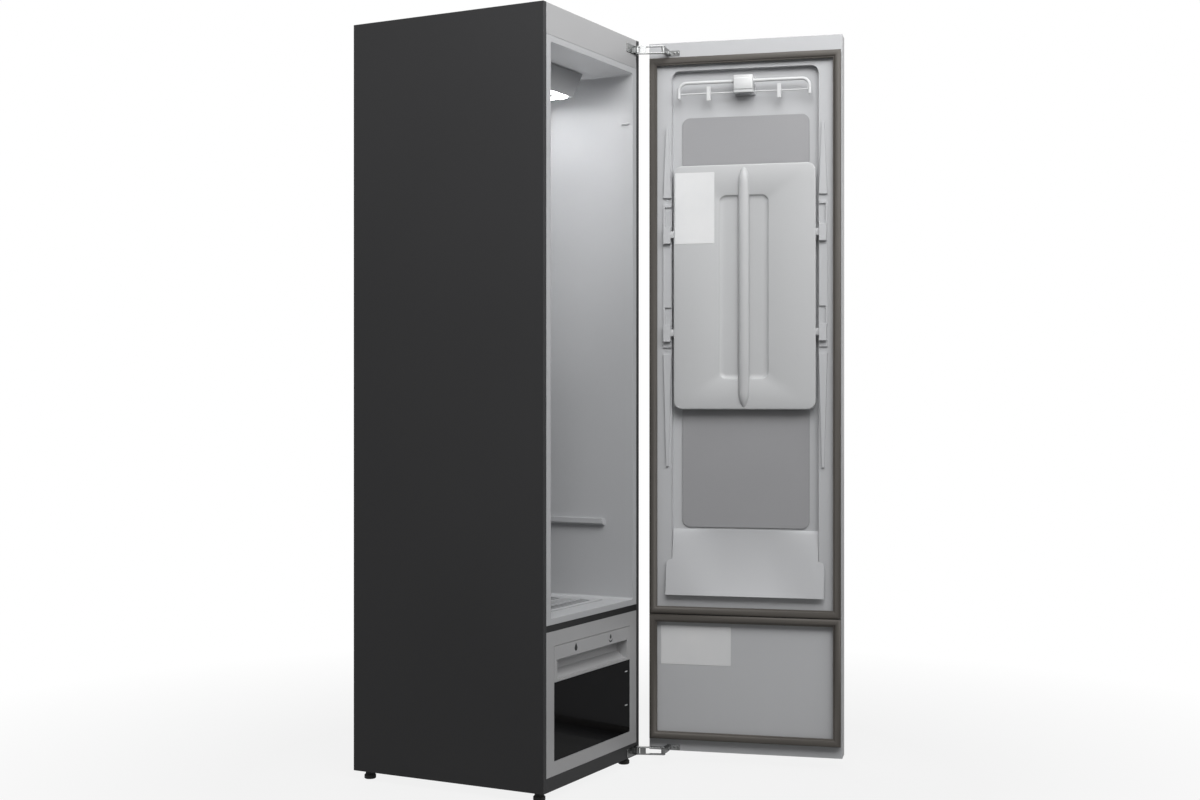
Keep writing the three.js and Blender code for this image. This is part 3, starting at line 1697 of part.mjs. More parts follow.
// A gasket loop: one bellows section carried round a rectangle with mitred corners
function gasketLoop(bottom, top) {
  const [left, right] = doorSpan(gasket.inset);
  const depth = door.gap - seatGap;
  const foot0 = (gasket.width - gasket.baseWidth) / 2;
  const lip = depth * gasket.lipShare;
  const section = [
    [foot0, seatGap],
    [foot0, lip / 2],
    [0, lip],
    [0, depth - gasket.grooveDepth],
    [gasket.grooveDepth, depth],
    [gasket.width - gasket.grooveDepth, depth],
    [gasket.width, depth - gasket.grooveDepth],
    [gasket.width, lip],
    [gasket.width - foot0, lip / 2],
    [gasket.width - foot0, seatGap],
  ];
  const positions = [];
  const index = [];
  const corners = [
    [left, bottom, 1, 1],
    [right, bottom, -1, 1],
    [right, top, -1, -1],
    [left, top, 1, -1],
  ];
  for (const [x, z, inX, inZ] of corners) {
    for (const [inward, rise] of section) positions.push(x + inX * inward, rise, z + inZ * inward);
  }
  const n = section.length;
  for (let c = 0; c < corners.length; c += 1) {
    for (let k = 0; k < n; k += 1) {
      const a = c * n + k;
      const b = c * n + ((k + 1) % n);
      const p = ((c + 1) % corners.length) * n + k;
      const q = ((c + 1) % corners.length) * n + ((k + 1) % n);
      index.push(a, b, p, b, q, p);
    }
  }
  const geometry = new THREE.BufferGeometry();
  geometry.setAttribute('position', new THREE.BufferAttribute(new Float32Array(positions), 3));
  geometry.setIndex(index);
  const body = solid(geometry);
  if (body.volume() > 0) return body;
  throw new Error('the gasket loop is inside out');
}

function upperGasketLoop() {
  return gasketLoop(gasket.upperBottom + gasket.splitGap, cabinetHeight - gasket.topMargin);
}

// Press cover: a hollow-backed round-cornered panel with a pointed rib, a shallow pocket and four tabs
function pressCover() {
  const c = cover;
  const [left, right] = doorSpan(c.sideMargin);
  const middle = -cabinetWidth / 2;
  const front = c.back + c.thickness;
  const panelShape = roundedOutline(left, right, coverBottom, coverTop, c.radius);
  const panel = frontSolid(panelShape, c.back, c.thickness, wideCornerSteps);
  const w = c.wall;
  const hollow = frontSolid(
    roundedOutline(left + w, right - w, coverBottom + w, coverTop - w, c.radius - w),
    c.back - cutOverrun, c.thickness - 2 * w + cutOverrun, wideCornerSteps,
  );
  const pocketShape = roundedOutline(
    middle - c.pocketHalfWidth, middle + c.pocketHalfWidth,
    coverBottom + c.pocketMargin, coverTop - c.pocketMargin, c.pocketRadius,
  );
  const dish = frontSolid(pocketShape, front - c.pocketDepth, c.pocketDepth + cutOverrun, wideCornerSteps);
  const half = c.ribWidth / 2;
  const ribShape = outline([
    [middle, coverBottom + w],
    [middle + half, coverBottom + c.ribPoint],
    [middle + half, coverTop - c.ribPoint],
    [middle, coverTop - w],
    [middle - half, coverTop - c.ribPoint],
    [middle - half, coverBottom + c.ribPoint],
  ]);
  const ribFoot = front - w;
  const rib = frontSolid(ribShape, ribFoot, w + c.ribRise);
  const tabs = [];
  for (const bottom of cupBottoms) {
    const z = bottom + hook.floor + seatGap;
    const hingeSideTab = block(
      right - w, -hook.outer - hook.wall - slideGap,
      cupBack + slideGap, cupFront - slideGap,
      z, z + c.tabHeight,
    );
    tabs.push(hingeSideTab, mirroredX(hingeSideTab).translate([-cabinetWidth, 0, 0]));
  }
  return join(cut(panel, hollow, dish), rib, tabs);
}

// Trouser hanger: a bent rod, a thin wire between its ends and a slotted centre block
function rodAlong(pieces, radius, sides, steps) {
  const path = new THREE.CurvePath();
  for (const piece of pieces) path.add(piece);
  const circle = new THREE.Shape();
  circle.absarc(0, 0, radius, 0, 2 * Math.PI);
  return solid(new THREE.ExtrudeGeometry(circle, {
    steps, bevelEnabled: false, extrudePath: path, curveSegments: sides / 2,
  }));
}

function hangerWirePlace() {
  return rodHeight - trouserHanger.wireDrop;
}

function trouserHangerBody() {
  const h = trouserHanger;
  const middle = -cabinetWidth / 2;
  const y = h.standoff;
  const left = middle - hangerHalfSpan;
  const right = middle + hangerHalfSpan;
  const r = h.bendRadius;
  const at = (x, z) => new THREE.Vector3(x, y, z);
  const top = rodHeight;
  const rodCurve = [
    new THREE.LineCurve3(at(left, top - h.endDrop), at(left, top - r)),
    new THREE.QuadraticBezierCurve3(at(left, top - r), at(left, top), at(left + r, top)),
    new THREE.LineCurve3(at(left + r, top), at(right - r, top)),
    new THREE.QuadraticBezierCurve3(at(right - r, top), at(right, top), at(right, top - r)),
    new THREE.LineCurve3(at(right, top - r), at(right, top - h.endDrop)),
  ];
  const rod = rodAlong(rodCurve, h.rodRadius, h.rodSides, h.rodSteps);
  const wireZ = hangerWirePlace();
  const wireLine = new THREE.LineCurve3(at(left, wireZ), at(right, wireZ));
  const wire = rodAlong([wireLine], h.wireRadius, h.wireSides, 1);
  const halfBlock = h.blockWidth / 2;
  const core = block(
    middle - halfBlock, middle + halfBlock,
    h.blockBack, h.blockFront,
    blockBottom, blockTop,
  );
  const middlePad = block(
    middle - halfBlock, middle + halfBlock,
    h.blockBack, h.blockFront + h.blockStep,
    blockBottom + h.blockStepHeight, blockTop - h.blockStepHeight,
  );
  const slot = block(
    middle - h.slotWidth / 2, middle + h.slotWidth / 2,
    h.blockBack - cutOverrun, h.blockBack + h.slotDepth,
    blockBottom - cutOverrun, blockBottom + h.slotHeight,
  );
  return cut(join(rod, wire, core, middlePad), slot);
}

// A clip hangs over the wire and pinches a waistband between its two jaws
function hangerClip(side) {
  const middle = -cabinetWidth / 2 + side * clip.offset;
  const y = trouserHanger.standoff;
  const wireZ = hangerWirePlace();
  const top = wireZ + clip.riseAboveWire;
  const bottom = top - clip.height;
  const half = clip.thickness / 2;
  const body = block(middle - clip.width / 2, middle + clip.width / 2, y - half, y + half, bottom, top);
  const bore = trouserHanger.wireRadius + seatGap;
  const wireHole = block(
    middle - clip.width, middle + clip.width,
    y - bore, y + bore, wireZ - bore, wireZ + bore,
  );
  const jaw = block(
    middle - clip.width, middle + clip.width,
    y - clip.jawGap / 2, y + clip.jawGap / 2,
    bottom - cutOverrun, wireZ - clip.spineHeight,
  );
  return cut(body, wireHole, jaw);
}

// Assembly: the fixed cabinet
place(model, 'side_panel_left', mirroredX(sidePanel()), 'anthracite');
place(model, 'side_panel_right', sidePanel(), 'anthracite');
place(model, 'top_panel', topPanel(), 'anthracite');
place(model, 'rear_panel', rearPanel(), 'anthracite');
place(model, 'rear_service_cover', rearServiceCover(), 'anthracite');
place(model, 'mains_gland', mainsGland(), 'rubber');
place(model, 'base_pan', basePanBody(), 'steel');
place(model, 'plinth', plinth(), 'anthracite');
place(model, 'front_header', frontHeader(), 'lightGrey');
place(model, 'divider_band', dividerBand(), 'darkBand');
place(model, 'lower_frame', lowerFrame(), 'lightGrey');
place(model, 'chamber_liner', chamberLiner(), 'liner');
place(model, 'chamber_insulation', insulation(), 'foam');
place(model, 'intake_plenum', intakePlenum(), 'darkBand');
place(model, 'ceiling_housing', ceilingHousing(), 'liner');
place(model, 'led_ring', ledRing(), 'led');
place(model, 'hanger_motor', hangerDriveMotor(), 'steel');
place(model, 'compressor', compressorBody(), 'darkBand');
place(model, 'evaporator', finnedCoil(bayDepth + coil.evaporatorSetback), 'steel');
place(model, 'condenser', finnedCoil(bayDepth + coil.condenserSetback), 'copper');
place(model, 'blower_housing', blowerHousing(), 'darkBand');
place(model, 'rear_duct', rearDuct(), 'darkBand');
place(model, 'steam_generator', steamGenerator(), 'steel');
place(model, 'water_pump', waterPump(), 'darkBand');
place(model, 'control_board', controlBoard(), 'circuit');

// Assembly: moving pieces inside the cabinet
place(model, 'floor_grille', floorGrille(), 'liner');
place(model, 'lint_filter', lintFilterTray(), 'lightGrey');
place(model, 'hanger_rail', movingHangerRail(), 'white');
place(model, 'blower_wheel', blowerWheel(), 'steel');
place(model, 'drawer_front', drawerFront(), 'lightGrey');
place(model, 'drawer_window', drawerWindow(), 'blackGloss');
place(model, 'drawer_box', drawerBox(), 'lightGrey');
place(model, 'supply_tank', waterTank(-1), 'tank');
place(model, 'drain_tank', waterTank(1), 'tank');
['front_left', 'front_right', 'rear_left', 'rear_right'].forEach((corner, i) => {
  place(model, `foot_${corner}`, levellingFoot(footPlaces()[i]), 'rubber');
});

// Assembly: the hinges, posed with the door open
function stepAlong(angle, length) {
  return new THREE.Vector3(Math.cos(angle), Math.sin(angle), 0).multiplyScalar(length);
}

const openAngle = THREE.MathUtils.degToRad(door.openDegrees);
const reachAngle = THREE.MathUtils.degToRad(hinge.reachDegrees);
const reachStep = stepAlong(reachAngle, hinge.reach);
const legSquares = hinge.longLength ** 2 + hinge.reach ** 2 - hinge.shortLength ** 2;
const longAngle = reachAngle - Math.acos(legSquares / (2 * hinge.longLength * hinge.reach));
const longStep = stepAlong(longAngle, hinge.longLength);
const shortStep = reachStep.clone().sub(longStep);
const shortAngle = Math.atan2(shortStep.y, shortStep.x);
const hingeHeights = [
  ['upper', cabinetHeight - hinge.upperDrop],
  ['lower', door.bottom + hinge.lowerRise],
];
for (const [level, height] of hingeHeights) {
  const pivotX = halfWidth - hinge.cabinetPivotInset;
  const cabinetPivot = new THREE.Vector3(pivotX, -hinge.cabinetStandoff, height);
  const long = new THREE.Group();
  long.position.copy(cabinetPivot);
  long.rotation.z = longAngle;
  place(long, `hinge_long_link_${level}`, longLinkBody(), 'chrome');
  const short = new THREE.Group();
  short.position.copy(cabinetPivot).add(longStep);
  short.rotation.z = shortAngle;
  place(short, `hinge_short_link_${level}`, shortLinkBody(), 'chrome');
  const base = new THREE.Group();
  base.position.copy(cabinetPivot);
  place(base, `hinge_base_${level}`, cabinetHingePlate(), 'chrome');
  model.add(base, long, short);
  const doorSide = new THREE.Group();
  doorSide.position.set(-hinge.doorPivotInset, hinge.doorStandoff, height);
  place(doorSide, `hinge_door_plate_${level}`, doorHingePlate(), 'chrome');
  openDoor.add(doorSide);
}

// Assembly: the open door and what it carries. Its corner follows from the hinge's third pivot
const pivotOffset = new THREE.Vector3(-hinge.doorPivotInset, hinge.doorStandoff, 0);
pivotOffset.applyAxisAngle(new THREE.Vector3(0, 0, 1), openAngle);
openDoor.position.set(halfWidth - hinge.cabinetPivotInset, -hinge.cabinetStandoff, 0);
openDoor.position.add(reachStep).sub(pivotOffset);
openDoor.rotation.z = openAngle;

place(openDoor, 'door_outer_panel', doorOuterPanel(), 'anthracite');
place(openDoor, 'door_frame', doorFrame(), 'lightGrey');
place(openDoor, 'door_core', doorCore(), 'foam');
place(openDoor, 'door_liner', doorLiner(), 'liner');
place(openDoor, 'backing_board', backingBoard(), 'lightGrey');
const hingeSideRail = pressRail();
const freeSideRail = mirroredX(hingeSideRail).translate([-cabinetWidth, 0, 0]);
place(openDoor, 'press_rail_hinge_side', hingeSideRail, 'liner');
place(openDoor, 'press_rail_free_side', freeSideRail, 'liner');
place(openDoor, 'door_apron', doorApron(), 'liner');
place(openDoor, 'upper_gasket', upperGasketLoop(), 'gasket');
place(openDoor, 'lower_gasket', gasketLoop(gasket.lowerBottom, gasket.upperBottom), 'gasket');
place(openDoor, 'press_cover', pressCover(), 'liner');
place(openDoor, 'trouser_hanger', trouserHangerBody(), 'white');
place(openDoor, 'hanger_clip_hinge_side', hangerClip(1), 'white');
place(openDoor, 'hanger_clip_free_side', hangerClip(-1), 'white');

// The model stands on the middle of its footprint
model.updateMatrixWorld(true);
const footprint = new THREE.Box3().setFromObject(model, true);
const middle = footprint.getCenter(new THREE.Vector3());
model.position.set(-middle.x, -middle.y, -footprint.min.z);
model.updateMatrixWorld(true);

export default model;
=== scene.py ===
# Looks for the clothes care steam cabinet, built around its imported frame
import json
import math

import bmesh
import bpy
from mathutils import Matrix, Vector


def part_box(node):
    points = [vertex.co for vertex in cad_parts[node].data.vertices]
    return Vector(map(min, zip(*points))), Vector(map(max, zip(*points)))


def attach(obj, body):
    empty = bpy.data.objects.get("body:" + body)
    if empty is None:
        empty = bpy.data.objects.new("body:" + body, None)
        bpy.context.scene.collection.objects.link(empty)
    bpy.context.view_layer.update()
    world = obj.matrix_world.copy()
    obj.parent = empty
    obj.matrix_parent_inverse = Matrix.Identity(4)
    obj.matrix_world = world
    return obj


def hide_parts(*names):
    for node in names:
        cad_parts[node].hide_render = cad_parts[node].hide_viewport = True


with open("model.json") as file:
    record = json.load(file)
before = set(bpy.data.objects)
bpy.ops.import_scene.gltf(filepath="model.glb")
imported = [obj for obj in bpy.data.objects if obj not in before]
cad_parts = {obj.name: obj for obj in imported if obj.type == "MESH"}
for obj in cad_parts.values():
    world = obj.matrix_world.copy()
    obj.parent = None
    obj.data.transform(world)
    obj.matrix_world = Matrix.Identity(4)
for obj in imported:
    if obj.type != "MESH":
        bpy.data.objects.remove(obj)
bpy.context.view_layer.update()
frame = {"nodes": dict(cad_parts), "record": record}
nodes = frame["nodes"]
bodies = frame["record"]["behaviour"]["bodies"]
bodyOf = {node: body for body, members in bodies.items() for node in members}
slotOf = {part["node"]: part["material_slot"] for part in frame["record"]["subparts"]}
print("frame loaded:", len(nodes), "nodes")


def tone(text):
    # a display colour such as b5b7bb, as the linear value that shaders read
    values = [int(text[i:i + 2], 16) / 255 for i in (0, 2, 4)]
    return tuple(v / 12.92 if v <= 0.04045 else ((v + 0.055) / 1.055) ** 2.4 for v in values) + (1.0,)


# shader node groups, each built once
def newGroup(name, inputs, outputs):
    group = bpy.data.node_groups.new(name, "ShaderNodeTree")
    for label, kind, value in inputs:
        socket = group.interface.new_socket(label, in_out="INPUT", socket_type=kind)
        socket.default_value = value
    for label, kind in outputs:
        group.interface.new_socket(label, in_out="OUTPUT", socket_type=kind)
    return group, group.nodes.new("NodeGroupInput"), group.nodes.new("NodeGroupOutput")


def mathNode(tree, operation, first, second=None, clamp=False):
    node = tree.nodes.new("ShaderNodeMath")
    node.operation = operation
    node.use_clamp = clamp
    for socket, value in zip(node.inputs, (first, second)):
        if value is None:
            continue
        if isinstance(value, (int, float)):
            socket.default_value = value
        else:
            tree.links.new(value, socket)
    return node.outputs[0]


def rangeNode(tree, value, low, high, toLow=0.0, toHigh=1.0):
    node = tree.nodes.new("ShaderNodeMapRange")
    tree.links.new(value, node.inputs["Value"])
    for label, number in (("From Min", low), ("From Max", high), ("To Min", toLow), ("To Max", toHigh)):
        if isinstance(number, (int, float)):
            node.inputs[label].default_value = number
        else:
            tree.links.new(number, node.inputs[label])
    return node.outputs["Result"]


def objectNoise(tree, scale, detail=3.0, stretch=(1, 1, 1)):
    place = tree.nodes.new("ShaderNodeTexCoord")
    mapping = tree.nodes.new("ShaderNodeMapping")
    mapping.inputs["Scale"].default_value = stretch
    noise = tree.nodes.new("ShaderNodeTexNoise")
    noise.inputs["Detail"].default_value = detail
    tree.links.new(place.outputs["Object"], mapping.inputs["Vector"])
    tree.links.new(mapping.outputs["Vector"], noise.inputs["Vector"])
    if isinstance(scale, (int, float)):
        noise.inputs["Scale"].default_value = scale
    else:
        tree.links.new(scale, noise.inputs["Scale"])
    return noise.outputs["Fac"]


def buildEdgeWear():
    # a rolled-over edge normal, and a mask that is bright where it leaves the true one
    wear = {"samples": 4, "flat": 0.995, "rounded": 0.8, "detail": 4.0, "bare": 0.35, "full": 0.7}
    group, given, out = newGroup("edgeWear", [
        ("Radius", "NodeSocketFloat", 0.002), ("Breakup", "NodeSocketFloat", 60.0),
        ("Amount", "NodeSocketFloat", 0.5),
    ], [("Mask", "NodeSocketFloat"), ("Normal", "NodeSocketVector")])
    bevel = group.nodes.new("ShaderNodeBevel")
    bevel.samples = wear["samples"]
    group.links.new(given.outputs["Radius"], bevel.inputs["Radius"])
    geometry = group.nodes.new("ShaderNodeNewGeometry")
    dot = group.nodes.new("ShaderNodeVectorMath")
    dot.operation = "DOT_PRODUCT"
    group.links.new(bevel.outputs["Normal"], dot.inputs[0])
    group.links.new(geometry.outputs["Normal"], dot.inputs[1])
    edge = rangeNode(group, dot.outputs["Value"], wear["flat"], wear["rounded"])
    breakup = objectNoise(group, given.outputs["Breakup"], wear["detail"])
    patches = rangeNode(group, breakup, wear["bare"], wear["full"])
    worn = mathNode(group, "MULTIPLY", edge, patches)
    group.links.new(mathNode(group, "MULTIPLY", worn, given.outputs["Amount"]), out.inputs["Mask"])
    group.links.new(bevel.outputs["Normal"], out.inputs["Normal"])
    return group


def buildGrain():
    # fine moulded or sprayed texture with a slow drift of shade over it
    grain = {"fineDetail": 2.0, "driftDetail": 4.0, "fineShare": 0.35, "driftShare": 0.65,
             "low": 0.3, "high": 0.7}
    group, given, out = newGroup("surfaceGrain", [
        ("Scale", "NodeSocketFloat", 1200.0), ("Drift", "NodeSocketFloat", 3.0),
    ], [("Height", "NodeSocketFloat"), ("Shade", "NodeSocketFloat")])
    fine = objectNoise(group, given.outputs["Scale"], grain["fineDetail"])
    drift = objectNoise(group, given.outputs["Drift"], grain["driftDetail"])
    group.links.new(fine, out.inputs["Height"])
    share = mathNode(group, "MULTIPLY", fine, grain["fineShare"])
    mixed = mathNode(group, "ADD", share, mathNode(group, "MULTIPLY", drift, grain["driftShare"]))
    group.links.new(rangeNode(group, mixed, grain["low"], grain["high"]), out.inputs["Shade"])
    return group


def buildBrushing():
    # long scratches along one axis, for rolled and plated metal
    brushing = {"detail": 5.0, "stretch": (0.04, 1.0, 1.0), "spotScale": 30.0, "spotDetail": 3.0,
                "low": 0.3, "high": 0.7}
    group, given, out = newGroup("metalBrushing", [
        ("Scale", "NodeSocketFloat", 400.0),
    ], [("Height", "NodeSocketFloat"), ("Shade", "NodeSocketFloat")])
    lines = objectNoise(group, given.outputs["Scale"], brushing["detail"], brushing["stretch"])
    spots = objectNoise(group, brushing["spotScale"], brushing["spotDetail"])
    group.links.new(lines, out.inputs["Height"])
    group.links.new(rangeNode(group, spots, brushing["low"], brushing["high"]), out.inputs["Shade"])
    return group


def buildDust():
    # a thin patchy film that thickens towards the floor
    dust = {"scale": 14.0, "detail": 6.0, "low": 0.3, "high": 0.75}
    group, given, out = newGroup("settledDust", [
        ("Reach", "NodeSocketFloat", 0.25), ("Amount", "NodeSocketFloat", 0.3),
    ], [("Mask", "NodeSocketFloat")])
    place = group.nodes.new("ShaderNodeTexCoord")
    split = group.nodes.new("ShaderNodeSeparateXYZ")
    group.links.new(place.outputs["Object"], split.inputs["Vector"])
    low = rangeNode(group, split.outputs["Z"], given.outputs["Reach"], 0.0)
    patches = rangeNode(group, objectNoise(group, dust["scale"], dust["detail"]), dust["low"], dust["high"])
    film = mathNode(group, "MULTIPLY", low, patches)
    group.links.new(mathNode(group, "MULTIPLY", film, given.outputs["Amount"], True), out.inputs["Mask"])
    return group


groups = {
    "wear": buildEdgeWear(), "grain": buildGrain(), "brushing": buildBrushing(), "dust": buildDust(),
}


def groupNode(tree, name, **values):
    node = tree.nodes.new("ShaderNodeGroup")
    node.node_tree = groups[name]
    for label, value in values.items():
        node.inputs[label].default_value = value
    return node


def mixColor(tree, mask, first, second):
    node = tree.nodes.new("ShaderNodeMix")
    node.data_type = "RGBA"
    for socket, value in ((node.inputs[6], first), (node.inputs[7], second)):
        if isinstance(value, tuple):
            socket.default_value = value
        else:
            tree.links.new(value, socket)
    tree.links.new(mask, node.inputs[0])
    return node.outputs[2]


def newMaterial(name):
    material = bpy.data.materials.new(name)
    material.use_nodes = True
    tree = material.node_tree
    return material, tree, tree.nodes["Principled BSDF"]


def addBump(tree, shader, height, strength, depth, normal=None):
    bump = tree.nodes.new("ShaderNodeBump")
    bump.inputs["Strength"].default_value = strength
    bump.inputs["Distance"].default_value = depth
    tree.links.new(height, bump.inputs["Height"])
    if normal is not None:
        tree.links.new(normal, bump.inputs["Normal"])
    tree.links.new(bump.outputs["Normal"], shader.inputs["Normal"])


# what a look has where it doesn't say otherwise
plainLook = {
    "texture": "grain", "wearRadius": 0.0012, "roughnessDrift": 0.04, "metal": 0.0, "specular": 0.5,
    "coat": 0.0, "coatRoughness": 0.05, "bumpDepth": 0.0002,
    "dust": 0.0, "dustReach": 0.3, "dustTone": "8b8781",
}


def finish(name, ownLook):
    # a painted, moulded or metal finish: base colour with drift, worn edges, dust, grain and bump
    look = {**plainLook, **ownLook}
    material, tree, shader = newMaterial(name)
    texture = groupNode(tree, look["texture"], Scale=look["grainScale"])
    if "drift" in look:
        texture.inputs["Drift"].default_value = look["drift"]
    color = mixColor(tree, texture.outputs["Shade"], tone(look["dark"]), tone(look["light"]))
    worn = groupNode(tree, "wear", Radius=look["wearRadius"], Amount=look["wear"])
    color = mixColor(tree, worn.outputs["Mask"], color, tone(look["worn"]))
    if look["dust"]:
        film = groupNode(tree, "dust", Amount=look["dust"], Reach=look["dustReach"])
        color = mixColor(tree, film.outputs["Mask"], color, tone(look["dustTone"]))
    tree.links.new(color, shader.inputs["Base Color"])
    rough = rangeNode(tree, texture.outputs["Shade"], 0.0, 1.0,
                      look["roughness"] - look["roughnessDrift"],
                      look["roughness"] + look["roughnessDrift"])
    tree.links.new(rough, shader.inputs["Roughness"])
    shader.inputs["Metallic"].default_value = look["metal"]
    shader.inputs["Specular IOR Level"].default_value = look["specular"]
    shader.inputs["Coat Weight"].default_value = look["coat"]
    shader.inputs["Coat Roughness"].default_value = look["coatRoughness"]
    addBump(tree, shader, texture.outputs["Height"], look["bump"], look["bumpDepth"],
            worn.outputs["Normal"])
    return material


looks = {
    "casingPaint": {
        "dark": "323233", "light": "383839", "worn": "6c6c6f", "wear": 0.3, "grainScale": 900.0,
        "drift": 1.2, "roughness": 0.46, "specular": 0.18, "bump": 0.10, "dust": 0.08,
        "dustTone": "4c4a48", "dustReach": 0.1,
    },
    "greyMoulding": {
        "dark": "a3a3a4", "light": "adadae", "worn": "c8c8c9", "wear": 0.25, "grainScale": 1600.0,
        "drift": 2.0, "roughness": 0.36, "bump": 0.12, "metal": 0.2, "dust": 0.05,
    },
    "linerMoulding": {
        "dark": "b1b2b4", "light": "babbbd", "worn": "dcdddf", "wear": 0.2, "grainScale": 1800.0,
        "drift": 1.6, "roughness": 0.40, "specular": 0.4, "bump": 0.08, "dust": 0.03,
    },
    # the liner plastic again, painted darker for the chamber's inside: painted shade for the dimmer light
    # in the chamber
    "chamberMouldingPaintedShade": {
        "dark": "a8a9ab", "light": "b1b2b4", "worn": "cbccce", "wear": 0.2, "grainScale": 1800.0,
        "drift": 1.4, "roughness": 0.36, "specular": 0.4, "bump": 0.08,
    },
    "blackMoulding": {
        "dark": "171718", "light": "1e1e1f", "worn": "434345", "wear": 0.3, "grainScale": 1500.0,
        "drift": 3.0, "roughness": 0.5, "specular": 0.3, "bump": 0.2, "dust": 0.06,
    },
    "gasketVinyl": {
        "dark": "423e3a", "light": "4e4a45", "worn": "76706a", "wear": 0.3, "wearRadius": 0.002,
        "grainScale": 700.0, "drift": 5.0, "roughness": 0.58, "bump": 0.2, "dust": 0.05,
    },
    "whiteMoulding": {
        "dark": "c6c7c8", "light": "d1d2d2", "worn": "e4e4e4", "wear": 0.2, "grainScale": 1700.0,
        "drift": 6.0, "roughness": 0.33, "bump": 0.08,
    },
    "hingeChrome": {
        "texture": "brushing", "dark": "747575", "light": "979898", "worn": "545555", "wear": 0.3,
        "grainScale": 500.0, "roughness": 0.22, "roughnessDrift": 0.06, "metal": 1.0, "bump": 0.06,
    },
    "galvanisedSheet": {
        "texture": "brushing", "dark": "8d9093", "light": "aeb1b4", "worn": "c6c8ca", "wear": 0.2,
        "grainScale": 160.0, "roughness": 0.42, "roughnessDrift": 0.1, "metal": 1.0, "bump": 0.1,
        "dust": 0.2,
    },
    "coilMetal": {
        "texture": "brushing", "dark": "97999c", "light": "c3c5c7", "worn": "dcdddf", "wear": 0.2,
        "grainScale": 900.0, "roughness": 0.35, "metal": 1.0, "bump": 0.15,
    },
    "blackRubber": {
        "dark": "151515", "light": "1e1e1e", "worn": "3a3a3a", "wear": 0.4, "grainScale": 900.0,
        "drift": 9.0, "roughness": 0.75, "bump": 0.35, "dust": 0.3, "dustReach": 0.03, "dustTone": "55524e",
    },
    "circuitBoard": {
        "dark": "1d4a2b", "light": "2a5f38", "worn": "8c9a72", "wear": 0.4, "grainScale": 260.0,
        "drift": 40.0, "roughness": 0.4, "bump": 0.3,
    },
    "rigidFoam": {
        "dark": "cfc8b4", "light": "e2dccb", "worn": "f0ebde", "wear": 0.2, "grainScale": 420.0,
        "drift": 8.0, "roughness": 0.9, "bump": 0.6, "bumpDepth": 0.0008,
    },
    "boardMoulding": {
        "dark": "8e8e90", "light": "979799", "worn": "b4b4b6", "wear": 0.2, "grainScale": 1500.0,
        "drift": 2.0, "roughness": 0.42, "bump": 0.1, "dust": 0.05,
    },
    "coverMoulding": {
        "dark": "b0b1b2", "light": "b8b9ba", "worn": "d2d3d4", "wear": 0.15, "grainScale": 1900.0,
        "drift": 1.5, "roughness": 0.4, "bump": 0.08, "dust": 0.03,
    },
    "labelFilm": {
        "dark": "d0d1d2", "light": "dbdbdb", "worn": "eeeeee", "wear": 0.1, "grainScale": 900.0,
        "drift": 9.0, "roughness": 0.32, "bump": 0.05, "coat": 0.2,
    },
    "printInk": {
        "dark": "161718", "light": "202123", "worn": "4b4c4e", "wear": 0.2, "grainScale": 2400.0,
        "drift": 20.0, "roughness": 0.55, "bump": 0.1,
    },
    "compressorPaint": {
        "dark": "0f0f10", "light": "19191a", "worn": "3d3d3f", "wear": 0.4, "grainScale": 500.0,
        "drift": 6.0, "roughness": 0.35, "bump": 0.2, "coat": 0.3, "dust": 0.25,
    },
}
finishes = {name: finish(name, look) for name, look in looks.items()}


def buildWindowGloss():
    # near-black polished sheet with a slight drift of tone and fine hairline scuffs
    look = {"dark": "050506", "light": "09090a", "drift": 6.0, "roughness": 0.07, "roughnessRise": 0.1,
            "scuffs": 900.0, "scuffLow": 0.45, "scuffHigh": 0.75, "specular": 0.08}
    material, tree, shader = newMaterial("windowGloss")
    grain = groupNode(tree, "grain", Scale=look["scuffs"], Drift=look["drift"])
    tree.links.new(mixColor(tree, grain.outputs["Shade"], tone(look["dark"]), tone(look["light"])),
                   shader.inputs["Base Color"])
    scuffs = groupNode(tree, "brushing", Scale=look["scuffs"])
    rough = rangeNode(tree, scuffs.outputs["Height"], look["scuffLow"], look["scuffHigh"],
                      look["roughness"], look["roughness"] + look["roughnessRise"])
    tree.links.new(rough, shader.inputs["Roughness"])
    shader.inputs["Specular IOR Level"].default_value = look["specular"]
    return material


def buildLightGuide():
    # opal strip that glows nearly evenly, with a faint mottling
    look = {"strength": 30.0, "plain": "f6f6f2", "roughness": 0.35, "cellScale": 120.0, "cellDetail": 2.0,
            "low": 0.2, "high": 0.8, "dimmest": 0.94}
    material, tree, shader = newMaterial("lightGuide")
    shader.inputs["Base Color"].default_value = tone(look["plain"])
    shader.inputs["Roughness"].default_value = look["roughness"]
    mottling = objectNoise(tree, look["cellScale"], look["cellDetail"])
    cells = rangeNode(tree, mottling, look["low"], look["high"], look["dimmest"], 1.0)
    glow = tree.nodes.new("ShaderNodeCombineColor")
    for label in ("Red", "Green", "Blue"):
        tree.links.new(cells, glow.inputs[label])
    tree.links.new(glow.outputs["Color"], shader.inputs["Emission Color"])
    shader.inputs["Emission Strength"].default_value = look["strength"]
    return material


def buildTankPlastic():
    # smoky half-clear plastic with a faint grain
    look = {"dark": "6f757b", "light": "8d949a", "roughness": 0.18, "grainScale": 240.0, "drift": 5.0,
            "transmission": 0.55, "ior": 1.49, "bump": 0.08, "bumpDepth": 0.0003}
    material, tree, shader = newMaterial("tankPlastic")
    grain = groupNode(tree, "grain", Scale=look["grainScale"], Drift=look["drift"])
    tree.links.new(mixColor(tree, grain.outputs["Shade"], tone(look["dark"]), tone(look["light"])),
                   shader.inputs["Base Color"])
    shader.inputs["Roughness"].default_value = look["roughness"]
    shader.inputs["Transmission Weight"].default_value = look["transmission"]
    shader.inputs["IOR"].default_value = look["ior"]
    addBump(tree, shader, grain.outputs["Height"], look["bump"], look["bumpDepth"])
    return material


